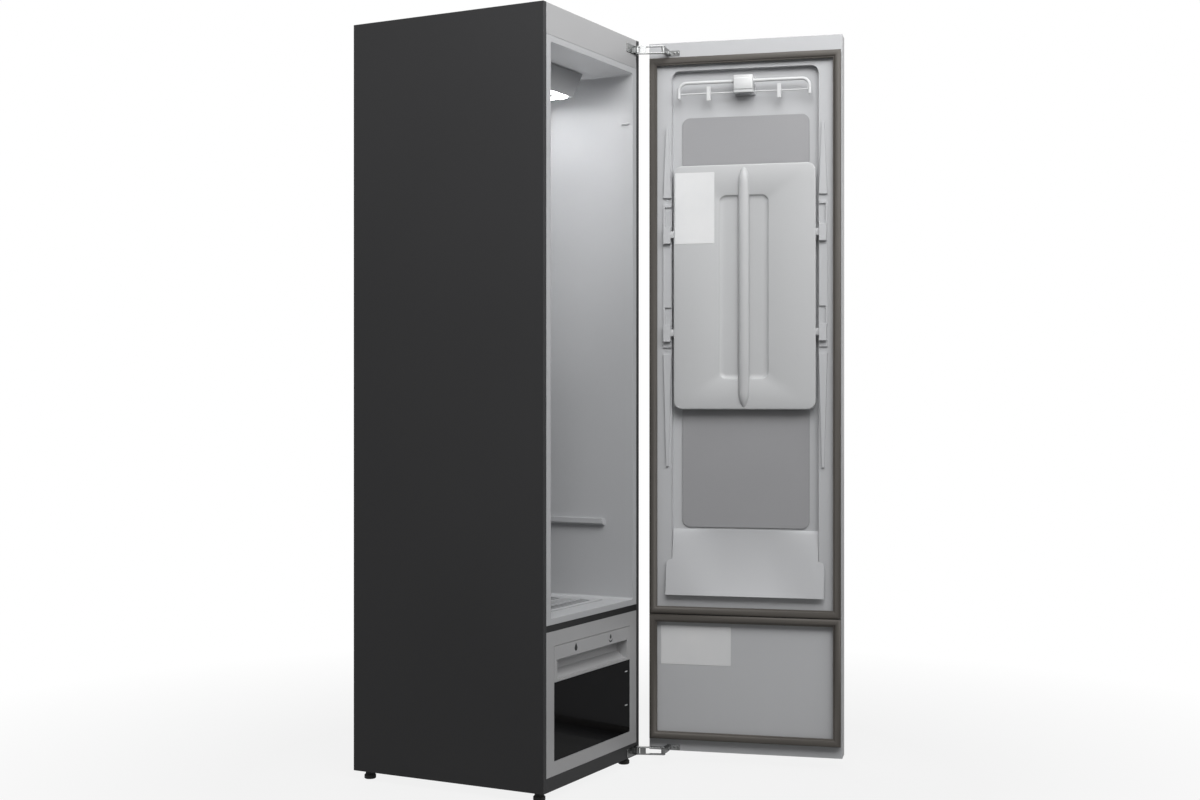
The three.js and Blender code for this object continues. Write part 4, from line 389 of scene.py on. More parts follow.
finishes["windowGloss"] = buildWindowGloss()
finishes["lightGuide"] = buildLightGuide()
finishes["tankPlastic"] = buildTankPlastic()
finishOfSlot = {
    "anthracite_steel": "casingPaint", "grey_moulding": "greyMoulding", "liner_moulding": "linerMoulding",
    "black_moulding": "blackMoulding", "black_window": "windowGloss", "gasket_vinyl": "gasketVinyl",
    "white_moulding": "whiteMoulding", "hinge_chrome": "hingeChrome", "galvanised_steel": "galvanisedSheet",
    "coil_metal": "coilMetal", "black_rubber": "blackRubber", "light_guide": "lightGuide",
    "tank_plastic": "tankPlastic", "circuit_tray": "circuitBoard", "foam": "rigidFoam",
    "compressor_paint": "compressorPaint",
}
finishOfNode = {node: finishOfSlot[slot] for node, slot in slotOf.items()}
# the chamber's walls, ceiling housing and floor grille take the darker copy of the liner plastic, as
# painted shade
for nodeName in ("chamber_liner", "ceiling_housing", "floor_grille"):
    finishOfNode[nodeName] = "chamberMouldingPaintedShade"
finishOfNode["backing_board"] = "boardMoulding"
for nodeName, node in nodes.items():
    node.data.materials.clear()
    node.data.materials.append(finishes[finishOfNode[nodeName]])
print("finishes ready:", len(finishes))


# making pieces
def settle(piece, body, materialName):
    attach(piece, body)
    piece.data.materials.clear()
    piece.data.materials.append(finishes[materialName])
    return piece


def pieceFrom(bm, name, smoothAngle=35):
    mesh = bpy.data.meshes.new(name)
    bm.to_mesh(mesh)
    bm.free()
    mesh.shade_smooth()
    mesh.set_sharp_from_angle(angle=math.radians(smoothAngle))
    piece = bpy.data.objects.new(name, mesh)
    bpy.context.scene.collection.objects.link(piece)
    return piece


def mergedCopy(nodeName):
    # a node's mesh with its triangles joined into flat faces
    merge = {"distance": 0.00002, "flatAngle": 0.5}
    bm = bmesh.new()
    bm.from_mesh(nodes[nodeName].data)
    bmesh.ops.remove_doubles(bm, verts=bm.verts, dist=merge["distance"])
    flat = math.radians(merge["flatAngle"])
    bmesh.ops.dissolve_limit(bm, angle_limit=flat, verts=bm.verts, edges=bm.edges)
    return bm


def sharpEdges(bm, angle):
    limit = math.radians(angle)
    return [e for e in bm.edges if len(e.link_faces) == 2 and e.calc_face_angle(0.0) > limit]


def rollEdges(bm, edges, width, segments=2):
    bmesh.ops.bevel(bm, geom=edges, offset=width, offset_type="OFFSET", segments=segments,
                    profile=0.5, affect="EDGES", clamp_overlap=True, material=-1)


def softened(nodeName, name, width):
    # a copy of a node with its hard corners rolled over, as sheet metal and mouldings have them
    soft = {"sharpAngle": 30, "smoothAngle": 50}
    bm = mergedCopy(nodeName)
    rollEdges(bm, sharpEdges(bm, soft["sharpAngle"]), width)
    piece = pieceFrom(bm, name, soft["smoothAngle"])
    weighted = piece.modifiers.new("evenNormals", "WEIGHTED_NORMAL")
    weighted.keep_sharp = True
    settle(piece, bodyOf[nodeName], finishOfNode[nodeName])
    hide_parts(nodeName)
    return piece


softEdges = {
    "backing_board": {"name": "backingBoardPanel", "width": 0.0008},
    "door_frame": {"name": "doorFrameMoulding", "width": 0.0010},
    "door_outer_panel": {"name": "doorOuterSheet", "width": 0.0008},
    "front_header": {"name": "frontHeaderMoulding", "width": 0.0008},
    "lower_frame": {"name": "lowerFrameMoulding", "width": 0.0006},
    "ceiling_housing": {"name": "ceilingHousingShell", "width": 0.0009},
    "hanger_rail": {"name": "hangerRailBar", "width": 0.0012},
    "hanger_clip_hinge_side": {"name": "hingeSideClipBody", "width": 0.0008},
    "hanger_clip_free_side": {"name": "freeSideClipBody", "width": 0.0008},
}
for nodeName, edge in softEdges.items():
    softened(nodeName, edge["name"], edge["width"])
print("softened pieces:", len(softEdges))


# places on the object: the cabinet's own axes, and the open door's with X from its hinge edge
def axesOfCabinet():
    left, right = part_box("side_panel_left"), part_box("side_panel_right")
    return Matrix.Translation(((left[0][0] + right[1][0]) / 2, left[0][1], 0))


def axesOfDoor():
    # the liner's face carries the door's corner, and the sheet behind it sets it back a little
    place = {"turn": 104.25, "linerThickness": 0.002}
    turn = math.radians(place["turn"])
    low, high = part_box("door_liner")
    corner = (low[0], high[1] + place["linerThickness"] * math.cos(turn), 0)
    return Matrix.Translation(corner) @ Matrix.Rotation(turn, 4, "Z")


cabinetAxes = axesOfCabinet()
doorAxes = axesOfDoor()
doorWidth = 0.495


# shapes that the pieces below are made from, in the axes of what carries them
def roundedLoop(x0, x1, z0, z1, radius, steps=8):
    points = []
    for cx, cz, start in ((x1 - radius, z1 - radius, 0), (x0 + radius, z1 - radius, 90),
                          (x0 + radius, z0 + radius, 180), (x1 - radius, z0 + radius, 270)):
        for i in range(steps + 1):
            angle = math.radians(start + 90 * i / steps)
            points.append((cx + radius * math.cos(angle), cz + radius * math.sin(angle)))
    return points


def addLoops(bm, loops):
    # a skin through closed loops of equal length, capped at both ends
    rows = [[bm.verts.new(point) for point in loop] for loop in loops]
    for row, following in zip(rows, rows[1:]):
        for i in range(len(row)):
            j = (i + 1) % len(row)
            bm.faces.new((row[i], row[j], following[j], following[i]))
    bm.faces.new(rows[0][::-1])
    bm.faces.new(rows[-1])


def roundedStep(first, second, steps):
    # a quarter turn from one (inset, depth) to another, leaving the first along the depth
    (i0, d0), (i1, d1) = first, second
    return [(i0 + (i1 - i0) * (1 - math.cos(math.pi / 2 * k / steps)),
             d0 + (d1 - d0) * math.sin(math.pi / 2 * k / steps)) for k in range(steps + 1)]


def addBlock(bm, low, high, edge=0.0, segments=2):
    made = bmesh.ops.create_cube(bm, size=1.0)["verts"]
    size = [b - a for a, b in zip(low, high)]
    bmesh.ops.scale(bm, vec=size, verts=made)
    bmesh.ops.translate(bm, vec=[(a + b) / 2 for a, b in zip(low, high)], verts=made)
    if edge:
        edges = list({e for v in made for e in v.link_edges})
        rollEdges(bm, edges, edge, segments)


def addTube(bm, points, radius, sides):
    # a round bar along points that lie in one upright plane
    rows = []
    for i, point in enumerate(points):
        before, after = points[max(i - 1, 0)], points[min(i + 1, len(points) - 1)]
        along = (Vector(after) - Vector(before)).normalized()
        across = Vector((0, 1, 0))
        up = along.cross(across).normalized()
        rows.append([tuple(Vector(point) + radius * (math.cos(a) * across + math.sin(a) * up))
                     for a in (2 * math.pi * k / sides for k in range(sides))])
    addLoops(bm, rows)


def finishedPiece(bm, name, axes, body, materialName, smoothAngle=40):
    bmesh.ops.transform(bm, matrix=axes, verts=bm.verts)
    bmesh.ops.recalc_face_normals(bm, faces=bm.faces)
    return settle(pieceFrom(bm, name, smoothAngle), body, materialName)


# press cover: a hollow-backed panel with a soft pocket, and a half-round rib with bullet ends
def buildPressCover():
    c = {
        "side": 0.0655, "bottom": 0.906, "top": 1.530, "back": 0.003, "front": 0.014, "corner": 0.022,
        "wall": 0.003, "edge": 0.0035, "inner": 0.0055, "pocketHalf": 0.064, "pocketMargin": 0.077,
        "pocketCorner": 0.019, "pocketDepth": 0.0062, "pocketLip": 0.0014, "pocketCove": 0.0135,
        "lipShare": 0.7, "lipDrop": 0.0004, "innerStep": 0.002, "backStep": 0.0005,
        "backInset": 0.0005, "steps": 5,
    }
    x0, x1 = -(doorWidth - c["side"]), -c["side"]

    def outer(inset, depth):
        loop = roundedLoop(x0 + inset, x1 - inset, c["bottom"] + inset, c["top"] - inset,
                           c["corner"] - inset)
        return [(x, depth, z) for x, z in loop]

    def pocket(inset, depth):
        middle = -doorWidth / 2
        half = c["pocketHalf"] - inset
        loop = roundedLoop(middle - half, middle + half, c["bottom"] + c["pocketMargin"] + inset,
                           c["top"] - c["pocketMargin"] - inset, c["pocketCorner"] - inset)
        return [(x, depth, z) for x, z in loop]

    floor = c["front"] - c["pocketDepth"]
    profile = [(c["wall"] + c["innerStep"], c["inner"]), (c["wall"], c["inner"] - c["innerStep"])]
    profile += [(c["wall"], c["back"]), (c["backInset"], c["back"]), (0, c["back"] + c["backStep"])]
    profile += roundedStep((0, c["front"] - c["edge"]), (c["edge"], c["front"]), c["steps"])
    loops = [outer(*step) for step in profile]
    lip = c["front"] - c["pocketLip"] / 2
    loops += [pocket(0, c["front"]), pocket(c["pocketLip"] * c["lipShare"], c["front"] - c["lipDrop"])]
    cove = roundedStep((c["pocketLip"], lip), (c["pocketLip"] + c["pocketCove"], floor), c["steps"])
    loops += [pocket(*step) for step in cove]
    bm = bmesh.new()
    addLoops(bm, loops)
    shell = finishedPiece(bm, "pressCoverShell", doorAxes, "press_cover",
                          "coverMoulding", smoothAngle=50)
    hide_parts("press_cover")


def buildPressCoverRib():
    rib = {"half": 0.0142, "rise": 0.0115, "foot": 0.0135, "bottom": 0.9105, "top": 1.5225, "tip": 0.040,
           "lowPower": 0.85, "highPower": 0.55, "sides": 14, "bluntness": 0.02,
           "shares": (0, 0.05, 0.15, 0.3, 0.5, 0.75, 1)}
    bm = bmesh.new()
    middle, span = -doorWidth / 2, rib["top"] - rib["bottom"]
    stations = [share * rib["tip"] for share in rib["shares"]]
    stations += [span - place for place in reversed(stations)]
    loops = []
    for place in stations:
        along = min(place, span - place, rib["tip"]) / rib["tip"]
        power = rib["lowPower"] if place < span / 2 else rib["highPower"]
        grow = max(rib["bluntness"], 1 - (1 - along) ** 2) ** power
        arc = [math.pi * k / rib["sides"] for k in range(rib["sides"] + 1)]
        loop = [(middle + rib["half"] * grow * math.cos(a), rib["foot"] + rib["rise"] * grow * math.sin(a),
                 rib["bottom"] + place) for a in arc]
        loops.append(loop)
    addLoops(bm, loops)
    finishedPiece(bm, "pressCoverRib", doorAxes, "press_cover", "coverMoulding",
                  smoothAngle=55)


def buildPressCoverTabs():
    tab = {"inside": 0.068, "outside": 0.0425, "back": 0.0062, "front": 0.0118, "height": 0.018,
           "bottoms": (1.0935, 1.3455), "edge": 0.0012}
    bm = bmesh.new()
    for bottom in tab["bottoms"]:
        for near, far in ((-tab["inside"], -tab["outside"]),
                          (tab["outside"] - doorWidth, tab["inside"] - doorWidth)):
            addBlock(bm, (near, tab["back"], bottom), (far, tab["front"], bottom + tab["height"]),
                     tab["edge"])
    finishedPiece(bm, "pressCoverTabs", doorAxes, "press_cover", "coverMoulding")


# apron: a sheet that stays deep in its middle, rises at its sides over the rim and turns in at its lip
def apronDepth(apron, height, side):
    # how far the sheet stands out at a height and at a distance to either side of its middle
    deep, lip = apron["recess"], apron["lip"]
    share = (apron["top"] - height) / (apron["top"] - apron["bottom"])
    middle = deep + (lip - deep) * share ** apron["sweep"]
    edge = deep + (lip - deep) * share ** apron["rise"]
    near, far = apron["saddle"]
    pull = min(1, max(0, (side - near) / (far - near)))
    return middle + (edge - middle) * pull * pull * (3 - 2 * pull)


def buildDoorApron():
    apron = {"top": 0.598, "step": 0.521, "bottom": 0.430, "recess": -0.015, "lip": 0.017,
             "narrow": 0.0605, "wide": 0.045, "thick": 0.0025, "turnIn": 0.007,
             "sweep": 1.9, "rise": 0.7, "saddle": (0.055, 0.182), "rows": 40, "columns": 40,
             "flare": 0.004, "edge": 0.0007, "sharpAngle": 40, "shortest": 0.0001}
    bm = bmesh.new()
    middle = -doorWidth / 2
    fronts, backs = [], []
    for i in range(apron["rows"] + 1):
        height = apron["top"] + (apron["bottom"] - apron["top"]) * i / apron["rows"]
        reach = (apron["step"] - height) / apron["flare"]
        margin = apron["narrow"] + (apron["wide"] - apron["narrow"]) * min(1, max(0, reach))
        half = doorWidth / 2 - margin
        across = [2 * k / apron["columns"] - 1 for k in range(apron["columns"] + 1)]
        front = [(middle + half * u, apronDepth(apron, height, abs(half * u)), height) for u in across]
        fronts.append(front)
        backs.append([(x, y - apron["thick"], z) for x, y, z in front])
    foot = apron["bottom"]
    fronts.append([(x, apron["lip"] - apron["turnIn"], foot) for x, y, z in fronts[-1]])
    backs[-1] = [(x, y - apron["thick"], foot + apron["thick"]) for x, y, z in fronts[-2]]
    backs.append([(x, apron["lip"] - apron["turnIn"], foot + apron["thick"]) for x, y, z in fronts[-1]])
    loops = [front + back[::-1] for front, back in zip(fronts, backs)]
    addLoops(bm, loops)
    edges = [e for e in sharpEdges(bm, apron["sharpAngle"]) if e.calc_length() > apron["shortest"]]
    rollEdges(bm, edges, apron["edge"])
    piece = finishedPiece(bm, "doorApronSheet", doorAxes, "door", "linerMoulding",
                          smoothAngle=55)
    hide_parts("door_apron")


def buildRecessBead():
    bead = {"side": 0.0588, "top": 1.7772, "low": 0.5225, "corner": 0.0212, "face": -0.0002,
            "radius": 0.0011, "steps": 12, "sides": 8}
    left, right, r, top = bead["side"] - doorWidth, -bead["side"], bead["corner"], bead["top"]
    bends = [math.pi / (2 * bead["steps"]) * k for k in range(1, bead["steps"])]
    path = [(left, bead["low"]), (left, top - r)]
    path += [(left + r - r * math.cos(a), top - r + r * math.sin(a)) for a in bends]
    path += [(left + r, top), (right - r, top)]
    path += [(right - r + r * math.sin(a), top - r + r * math.cos(a)) for a in bends]
    path += [(right, top - r), (right, bead["low"])]
    bm = bmesh.new()
    addTube(bm, [(x, bead["face"], z) for x, z in path], bead["radius"], bead["sides"])
    finishedPiece(bm, "recessRimBead", doorAxes, "door", "linerMoulding",
                  smoothAngle=60)


# gasket: a crowned face over folded sides, carried round each loop with mitred corners
def buildGaskets():
    # each point of the section is its distance from the loop and its rise, in millimetres
    perMetre = 1000
    section = [
        (3.5, 0.3), (3.5, 3.0), (1.4, 4.8), (0.5, 6.8), (1.9, 8.6), (1.9, 9.6), (0.3, 11.4), (0.0, 13.4),
        (0.4, 15.4), (1.5, 17.2), (3.4, 18.6), (6.0, 19.4), (8.6, 19.6), (11.0, 19.4), (13.2, 18.8),
        (14.8, 17.9), (15.8, 16.6), (16.3, 15.2), (17.0, 14.6), (18.2, 14.9), (19.4, 14.5), (20.0, 13.2),
        (19.7, 11.4), (18.1, 9.6), (18.1, 8.6), (19.5, 6.8), (18.6, 4.8), (16.5, 3.0), (16.5, 0.3),
    ]
    loops = {
        "upper": {"bottom": 0.3808, "top": 1.810, "node": "upper_gasket"},
        "lower": {"bottom": 0.059, "top": 0.380, "node": "lower_gasket"},
    }
    inset = 0.0025
    for name, loop in loops.items():
        bm = bmesh.new()
        left, right = inset - doorWidth, -inset
        corners = ((left, loop["bottom"], 1, 1), (right, loop["bottom"], -1, 1),
                   (right, loop["top"], -1, -1), (left, loop["top"], 1, -1))
        rows = []
        for x, z, inX, inZ in corners:
            points = [(x + inX * i / perMetre, rise / perMetre, z + inZ * i / perMetre)
                      for i, rise in section]
            rows.append([bm.verts.new(point) for point in points])
        for row, following in zip(rows, rows[1:] + rows[:1]):
            for a, b, p, q in zip(row, row[1:] + row[:1], following, following[1:] + following[:1]):
                bm.faces.new((a, b, q, p))
        piece = finishedPiece(bm, name + "GasketBellows", doorAxes, "door",
                              "gasketVinyl", smoothAngle=60)
        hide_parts(loop["node"])


# trouser hanger: a bent rod, the thin wire between its ends, and a stepped and slotted centre block
def hangerRodPoints(rod):
    left, right = rod["margin"] - doorWidth, -rod["margin"]
    r, top, steps = rod["bend"], rod["height"], rod["bendSteps"]
    points = [(left, rod["out"], top - rod["drop"])]
    for cx, start in ((left + r, 180), (right - r, 90)):
        for i in range(steps + 1):
            angle = math.radians(start - 90 * i / steps)
            points.append((cx + r * math.cos(angle), rod["out"], top - r + r * math.sin(angle)))
    points.append((right, rod["out"], top - rod["drop"]))
    return points


def buildTrouserHanger():
    rod = {"margin": 0.0805, "bend": 0.020, "height": 1.741, "drop": 0.038, "out": 0.016, "radius": 0.0043,
           "wireDrop": 0.028, "wireRadius": 0.0017, "tipRadius": 0.0045,
           "bendSteps": 8, "sides": 16, "wireSides": 12, "tipRings": 8}
    bm = bmesh.new()
    addTube(bm, hangerRodPoints(rod), rod["radius"], rod["sides"])
    left, right = rod["margin"] - doorWidth, -rod["margin"]
    wireAt = rod["height"] - rod["wireDrop"]
    wire = [(left, rod["out"], wireAt), (right, rod["out"], wireAt)]
    addTube(bm, wire, rod["wireRadius"], rod["wireSides"])
    tipAt = rod["height"] - rod["drop"]
    for x in (left, right):
        place = Matrix.Translation((x, rod["out"], tipAt))
        bmesh.ops.create_uvsphere(bm, u_segments=rod["sides"], v_segments=rod["tipRings"],
                                  radius=rod["tipRadius"], matrix=place)
    piece = finishedPiece(bm, "trouserHangerRod", doorAxes, "trouser_hanger",
                          "whiteMoulding", smoothAngle=50)
    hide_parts("trouser_hanger")


def buildHangerBlock():
    b = {"half": 0.0245, "bottom": 1.710, "top": 1.755, "back": 0.006, "front": 0.027, "step": 0.002,
         "margin": 0.008, "slotHalf": 0.013, "slotDepth": 0.009, "edge": 0.0016, "edgeSteps": 3,
         "plateSide": 0.0004, "plateSunk": 0.004, "overlap": 0.001}
    middle = -doorWidth / 2
    bm = bmesh.new()
    addBlock(bm, (middle - b["half"], b["back"] + b["slotDepth"], b["bottom"]),
             (middle + b["half"], b["front"], b["top"]), b["edge"], b["edgeSteps"])
    plateLow = (middle - b["half"] + b["plateSide"], b["front"] - b["plateSunk"], b["bottom"] + b["margin"])
    plateHigh = (middle + b["half"] - b["plateSide"], b["front"] + b["step"], b["top"] - b["margin"])
    addBlock(bm, plateLow, plateHigh, b["edge"], b["edgeSteps"])
    for near, far in ((-b["half"], -b["slotHalf"]), (b["slotHalf"], b["half"])):
        addBlock(bm, (middle + near, b["back"], b["bottom"]),
                 (middle + far, b["back"] + b["slotDepth"] + b["overlap"], b["top"]), b["edge"] / 2)
    finishedPiece(bm, "trouserHangerBlock", doorAxes, "trouser_hanger",
                  "whiteMoulding", smoothAngle=50)


# small fixings: cross-recessed screw heads and domed pin heads
def addScrew(bm, matrix, screw):
    # a low dome facing -Y with a cross pressed into it; the dome is given in shares of radius and rise
    form = {"arm": 0.58, "slim": 0.15, "floor": 0.7,
            "dome": ((1.0, 0.0), (1.0, 0.35), (0.93, 0.72), (0.8, 0.93))}
    arm, slim, recess = screw["radius"] * form["arm"], screw["radius"] * form["slim"], screw["recess"]
    cross = []
    for quarter in range(4):
        turn = math.radians(90 * quarter)
        for x, z in ((arm, -slim), (arm, 0), (arm, slim), (slim + (arm - slim) / 2, slim),
                     (slim, slim), (slim, slim + (arm - slim) / 2)):
            cross.append((x * math.cos(turn) - z * math.sin(turn), x * math.sin(turn) + z * math.cos(turn)))
    start = math.atan2(cross[0][1], cross[0][0])
    sides = len(cross)

    def ring(radius, depth):
        return [(radius * math.cos(start + 2 * math.pi * k / sides), depth,
                 radius * math.sin(start + 2 * math.pi * k / sides)) for k in range(sides)]

    r, rise = screw["radius"], screw["rise"]
    loops = [ring(r * out, -rise * up) for out, up in form["dome"]]
    loops.append([(x, -rise, z) for x, z in cross])
    loops.append([(x * form["floor"], -rise + recess, z * form["floor"]) for x, z in cross])
    before = set(bm.verts)
    addLoops(bm, loops)
    bmesh.ops.transform(bm, matrix=matrix, verts=[v for v in bm.verts if v not in before])


def addPinHead(bm, matrix, head):
    # a shallow turned dome that stands on +Z, given in shares of radius and rise
    form = {"sides": 20, "dome": ((1.0, 0.0), (0.9, 0.5), (0.55, 0.9))}
    turns = [2 * math.pi * k / form["sides"] for k in range(form["sides"])]
    loops = []
    for out, up in form["dome"]:
        r = head["radius"] * out
        loops.append([(r * math.cos(a), r * math.sin(a), head["rise"] * up) for a in turns])
    before = set(bm.verts)
    addLoops(bm, loops)
    bmesh.ops.transform(bm, matrix=matrix, verts=[v for v in bm.verts if v not in before])


def buildHingeFixings():
    fixing = {"radius": 0.0034, "rise": 0.0011, "recess": 0.0009, "pinRadius": 0.0034, "pinRise": 0.0012,
              "sunkRise": 0.0003, "sunkRecess": 0.0002, "baseShares": (0.12, 0.36),
              "doorPlaces": (0.066, 0.075), "plateThickness": 0.0015, "doorPlateFace": 0.0018,
              "pinInset": 0.0054}
    sunk = {"radius": fixing["radius"], "rise": fixing["sunkRise"], "recess": fixing["sunkRecess"]}
    head = {"radius": fixing["pinRadius"], "rise": fixing["pinRise"]}
    flip = Matrix.Rotation(math.pi, 4, "X")
    for level in ("upper", "lower"):
        low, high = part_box("hinge_base_" + level)
        middle = (low[2] + high[2]) / 2
        plateFace = high[1] - fixing["plateThickness"]
        bm = bmesh.new()
        for share in fixing["baseShares"]:
            at = (low[0] + share * (high[0] - low[0]), plateFace, middle)
            addScrew(bm, Matrix.Translation(at), sunk)
        screws = pieceFrom(bm, level + "HingeBaseScrews", smoothAngle=30)
        settle(screws, "cabinet", "hingeChrome")
        bm = bmesh.new()
        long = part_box("hinge_long_link_" + level)
        reach = fixing["pinInset"]
        for x, y in ((long[0][0] + reach, long[1][1] - reach), (long[1][0] - reach, long[0][1] + reach)):
            addPinHead(bm, Matrix.Translation((x, y, long[1][2])), head)
            addPinHead(bm, Matrix.Translation((x, y, long[0][2])) @ flip, head)
        pins = pieceFrom(bm, level + "HingeLongPins", smoothAngle=40)
        settle(pins, "long_links", "hingeChrome")
        bm = bmesh.new()
        for away in fixing["doorPlaces"]:
            at = doorAxes @ Matrix.Translation((-away, fixing["doorPlateFace"], middle))
            addScrew(bm, at @ Matrix.Rotation(math.pi, 4, "Z"), fixing)
        screws = pieceFrom(bm, level + "HingeDoorScrews", smoothAngle=30)
        settle(screws, "door", "hingeChrome")


def buildRearScrews():
    screws = {"radius": 0.0042, "rise": 0.0018, "recess": 0.0014, "margin": 0.012, "across": 4, "rows": 5,
              "coverRows": 2}
    bm = bmesh.new()
    back = Matrix.Rotation(math.pi, 4, "Z")
    for node, rows in (("rear_panel", screws["rows"]), ("rear_service_cover", screws["coverRows"])):
        low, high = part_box(node)
        m = screws["margin"]
        for k in range(rows):
            z = low[2] + m + (high[2] - low[2] - 2 * m) * k / (rows - 1)
            for x in (low[0] + m, high[0] - m):
                addScrew(bm, Matrix.Translation((x, high[1], z)) @ back, screws)
        for k in range(1, screws["across"] - 1):
            x = low[0] + m + (high[0] - low[0] - 2 * m) * k / (screws["across"] - 1)
            for z in (low[2] + m, high[2] - m):
                addScrew(bm, Matrix.Translation((x, high[1], z)) @ back, screws)
    piece = pieceFrom(bm, "rearPanelScrews", smoothAngle=30)
    settle(piece, "cabinet", "galvanisedSheet")


# bare label films on the cover and on the lower door, and prints on the drawer
def buildLabelFilms():
    sheet = {"corner": 0.002, "cornerSteps": 4, "thick": 0.00025}
    films = {
        "coverLabelFilm": {"fromHinge": (0.070, 0.172), "heights": (1.330, 1.512), "face": 0.01405,
                           "body": "press_cover"},
        "doorLabelFilm": {"fromHinge": (0.030, 0.212), "heights": (0.250, 0.350), "face": 0.00005,
                          "body": "door"},
    }
    for name, film in films.items():
        near, far = film["fromHinge"]
        loop = roundedLoop(-far, -near, *film["heights"], sheet["corner"], sheet["cornerSteps"])
        bm = bmesh.new()
        faces = (film["face"], film["face"] + sheet["thick"])
        addLoops(bm, [[(x, face, z) for x, z in loop] for face in faces])
        finishedPiece(bm, name, doorAxes, film["body"], "labelFilm")


def dropOutline(size, steps=20):
    # a water drop, point up, round below, in shares of its size
    drop = {"round": 0.5, "tip": 0.32, "pinch": 0.6}
    points = []
    for k in range(steps):
        a = 2 * math.pi * k / steps
        rise = max(0.0, math.sin(a))
        pinch = abs(math.cos(a)) ** drop["pinch"] if rise else 1.0
        height = size * (drop["round"] * math.sin(a) + drop["tip"] * rise ** 3)
        points.append((drop["round"] * size * math.cos(a) * pinch, height))
    return points


def dishOutline(wide, deep, steps=10):
    # a shallow crescent that opens upwards, its upper edge in shares of its lower one
    upper = {"wide": 0.86, "deep": 0.55}
    swing = [math.pi * k / steps for k in range(steps + 1)]
    under = [(-wide / 2 * math.cos(a), -deep * math.sin(a)) for a in swing]
    over = [(wide / 2 * math.cos(a) * upper["wide"], -deep * upper["deep"] * math.sin(a))
            for a in swing[1:-1]]
    return under + over


def buildDrawerPrints():
    # a filled drop over the supply side, a small drop in a dish over the drain side, and level marks
    prints = {"size": 0.014, "small": 0.009, "height": 0.3395, "places": (-0.090, 0.090), "thick": 0.0002,
              "dish": (0.020, 0.008), "dishDrop": 0.002, "smallRise": 0.003, "gap": 0.00005,
              "markX": 0.168, "markZ": (0.243, 0.158), "markSize": (0.014, 0.0026)}
    low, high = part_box("drawer_front")
    face = low[1] - prints["gap"] - cabinetAxes.translation[1]
    supply, drain = prints["places"]
    shapes = [(supply, prints["height"], dropOutline(prints["size"])),
              (drain, prints["height"] + prints["smallRise"], dropOutline(prints["small"])),
              (drain, prints["height"] - prints["dishDrop"], dishOutline(*prints["dish"]))]
    bm = bmesh.new()
    for place, height, outline in shapes:
        addLoops(bm, [[(place + x, face - depth, height + z) for x, z in outline]
                      for depth in (0, prints["thick"])])
    finishedPiece(bm, "drawerDropPrints", cabinetAxes, "tank_drawer", "printInk")
    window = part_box("drawer_window")
    face = window[0][1] - prints["gap"] - cabinetAxes.translation[1]
    bm = bmesh.new()
    wide, tall = prints["markSize"]
    for z in prints["markZ"]:
        addBlock(bm, (prints["markX"], face - prints["thick"], z),
                 (prints["markX"] + wide, face, z + tall))
    finishedPiece(bm, "windowLevelMarks", cabinetAxes, "tank_drawer", "labelFilm")


buildPressCover()
buildPressCoverRib()
buildPressCoverTabs()
buildDoorApron()
buildRecessBead()
buildGaskets()
print("door mouldings ready")
buildTrouserHanger()
buildHangerBlock()
buildHingeFixings()
buildRearScrews()
buildLabelFilms()
buildDrawerPrints()
print("small pieces ready")


# floor, backdrop, lamps and camera
def seenShare(tree, glossyShare):
    # one for what the camera sees, straight on or through glass, and a share for what gloss shows
    rays = tree.nodes.new("ShaderNodeLightPath")
    direct = mathNode(tree, "MAXIMUM", rays.outputs["Is Camera Ray"], rays.outputs["Is Transmission Ray"])
    glossy = mathNode(tree, "MULTIPLY", rays.outputs["Is Glossy Ray"], glossyShare)
    return mathNode(tree, "MAXIMUM", direct, glossy)


def mixShaders(tree, share, first, second, outputNode):
    mix = tree.nodes.new("ShaderNodeMixShader")
    tree.links.new(share, mix.inputs["Fac"])
    tree.links.new(first, mix.inputs[1])
    tree.links.new(second, mix.inputs[2])
    tree.links.new(mix.outputs["Shader"], tree.nodes[outputNode].inputs["Surface"])


def buildFloor():
    # plain matt floor, which the camera sees fade into the backdrop with distance
    look = {"tone": "7c7c7c", "backdrop": "ffffff", "roughness": 0.9, "size": 30, "nearShare": 0.86,
            "near": 0.9, "far": 2.2, "inGloss": 0.4}
    bm = bmesh.new()
    bmesh.ops.create_grid(bm, x_segments=1, y_segments=1, size=look["size"])
    floor = pieceFrom(bm, "studioFloor")
    material, tree, shader = newMaterial("studioFloorPaint")
    shader.inputs["Base Color"].default_value = tone(look["tone"])
    shader.inputs["Roughness"].default_value = look["roughness"]
    glow = tree.nodes.new("ShaderNodeEmission")
    glow.inputs["Color"].default_value = tone(look["backdrop"])
    seen = seenShare(tree, look["inGloss"])
    place = tree.nodes.new("ShaderNodeTexCoord")
    away = tree.nodes.new("ShaderNodeVectorMath")
    away.operation = "LENGTH"
    tree.links.new(place.outputs["Object"], away.inputs[0])
    fade = rangeNode(tree, away.outputs["Value"], look["near"], look["far"], look["nearShare"], 1.0)
    mixShaders(tree, mathNode(tree, "MULTIPLY", seen, fade), shader.outputs["BSDF"],
               glow.outputs["Emission"], "Material Output")
    floor.data.materials.append(material)


def buildWorld():
    # dim even light, which the camera, glass and gloss see as a white backdrop
    look = {"backdrop": "ffffff", "strength": 0.14, "seenStrength": 1.0}
    world = bpy.data.worlds.new("studioWorld")
    world.use_nodes = True
    tree = world.node_tree
    sky = tree.nodes["Background"]
    plain = tree.nodes.new("ShaderNodeBackground")
    for node, strength in ((sky, look["strength"]), (plain, look["seenStrength"])):
        node.inputs["Color"].default_value = tone(look["backdrop"])
        node.inputs["Strength"].default_value = strength
    mixShaders(tree, seenShare(tree, 1.0), sky.outputs["Background"], plain.outputs["Background"],
               "World Output")
    bpy.context.scene.world = world


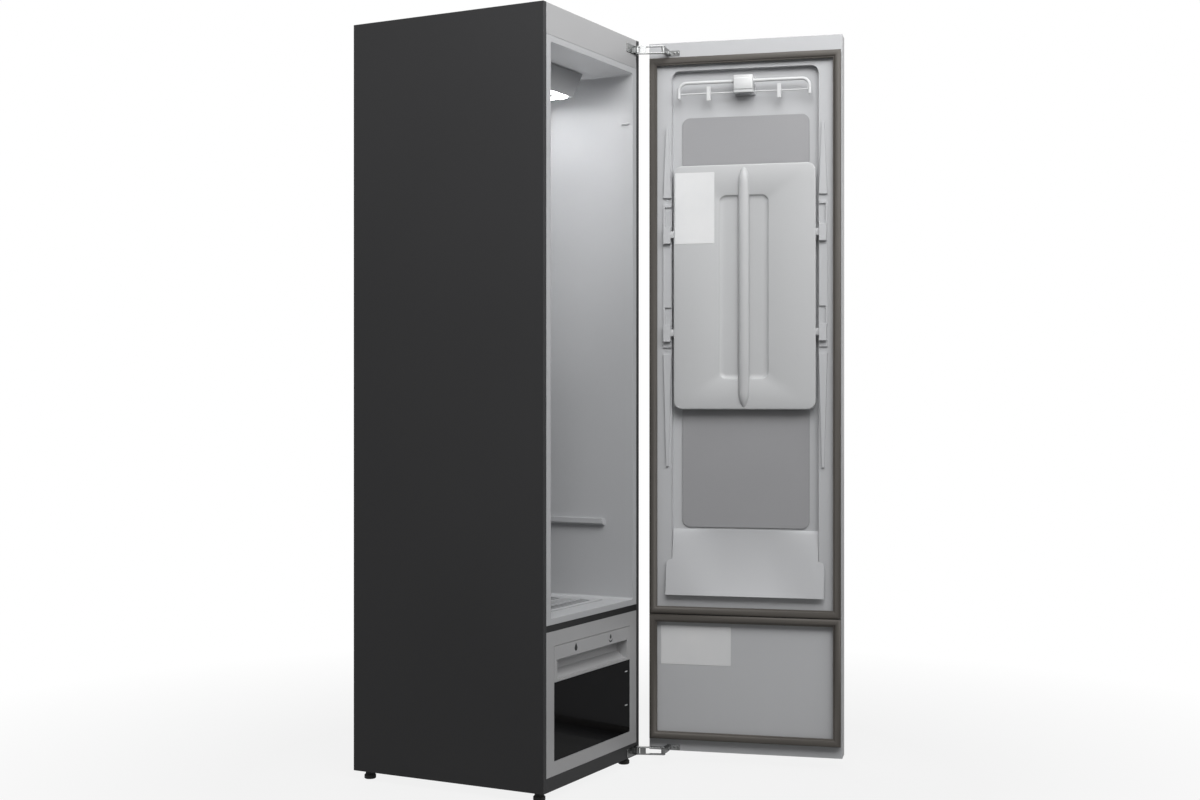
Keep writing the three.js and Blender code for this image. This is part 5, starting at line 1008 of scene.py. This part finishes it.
def addLamp(name, lamp):
    # an area lamp, or a soft-edged cone that stands for light thrown back inside the chamber
    data = bpy.data.lights.new(name, "SPOT" if "cone" in lamp else "AREA")
    data.energy = lamp["energy"]
    if "cone" in lamp:
        data.spot_size = math.radians(lamp["cone"])
        data.spot_blend = 1.0
        data.shadow_soft_size = lamp["radius"]
    else:
        data.shape = "RECTANGLE"
        data.size, data.size_y = lamp["size"]
    item = bpy.data.objects.new(name, data)
    item.location = lamp["at"]
    aim = Vector(lamp["towards"]) - Vector(lamp["at"])
    item.rotation_euler = aim.to_track_quat("-Z", "Y").to_euler()
    item.visible_camera = False
    item.visible_glossy = "cone" not in lamp
    bpy.context.scene.collection.objects.link(item)


lamps = {
    "softKey": {"at": (-1.8, -1.35, 3.15), "towards": (0, 0, 1.5), "size": (1.8, 1.8), "energy": 74},
    "frontFill": {"at": (-0.9, -2.9, 2.8), "towards": (0, 0, 1.2), "size": (2.2, 1.6), "energy": 44},
    "topSoft": {"at": (0, 0.2, 4.2), "towards": (0, 0, 0), "size": (3.0, 3.0), "energy": 45},
    "backSoft": {"at": (2.6, 3.2, 2.8), "towards": (0, 0, 1.0), "size": (2.4, 2.4), "energy": 55},
    "chamberBounce": {"at": (-0.105, 0.2, 0.62), "towards": (-0.105, 0.2, 2.0), "cone": 50, "radius": 0.1,
                      "energy": 24},
}


def addCamera():
    view = {"lens": 49.27, "sensor": 36.0, "at": (-3.6378, -1.8908, 0.9327), "turn": -62.0,
            "shiftX": 0.0079, "shiftY": -0.0008}
    data = bpy.data.cameras.new("photoCamera")
    data.lens = view["lens"]
    data.sensor_width = view["sensor"]
    data.shift_x = view["shiftX"]
    data.shift_y = view["shiftY"]
    camera = bpy.data.objects.new("photoCamera", data)
    camera.location = view["at"]
    camera.rotation_euler = (math.radians(90), 0, math.radians(view["turn"]))
    bpy.context.scene.collection.objects.link(camera)
    bpy.context.scene.camera = camera


buildFloor()
buildWorld()
for lampName, lamp in lamps.items():
    addLamp(lampName, lamp)
addCamera()
bpy.context.scene.view_settings.view_transform = "Standard"
print("studio ready")
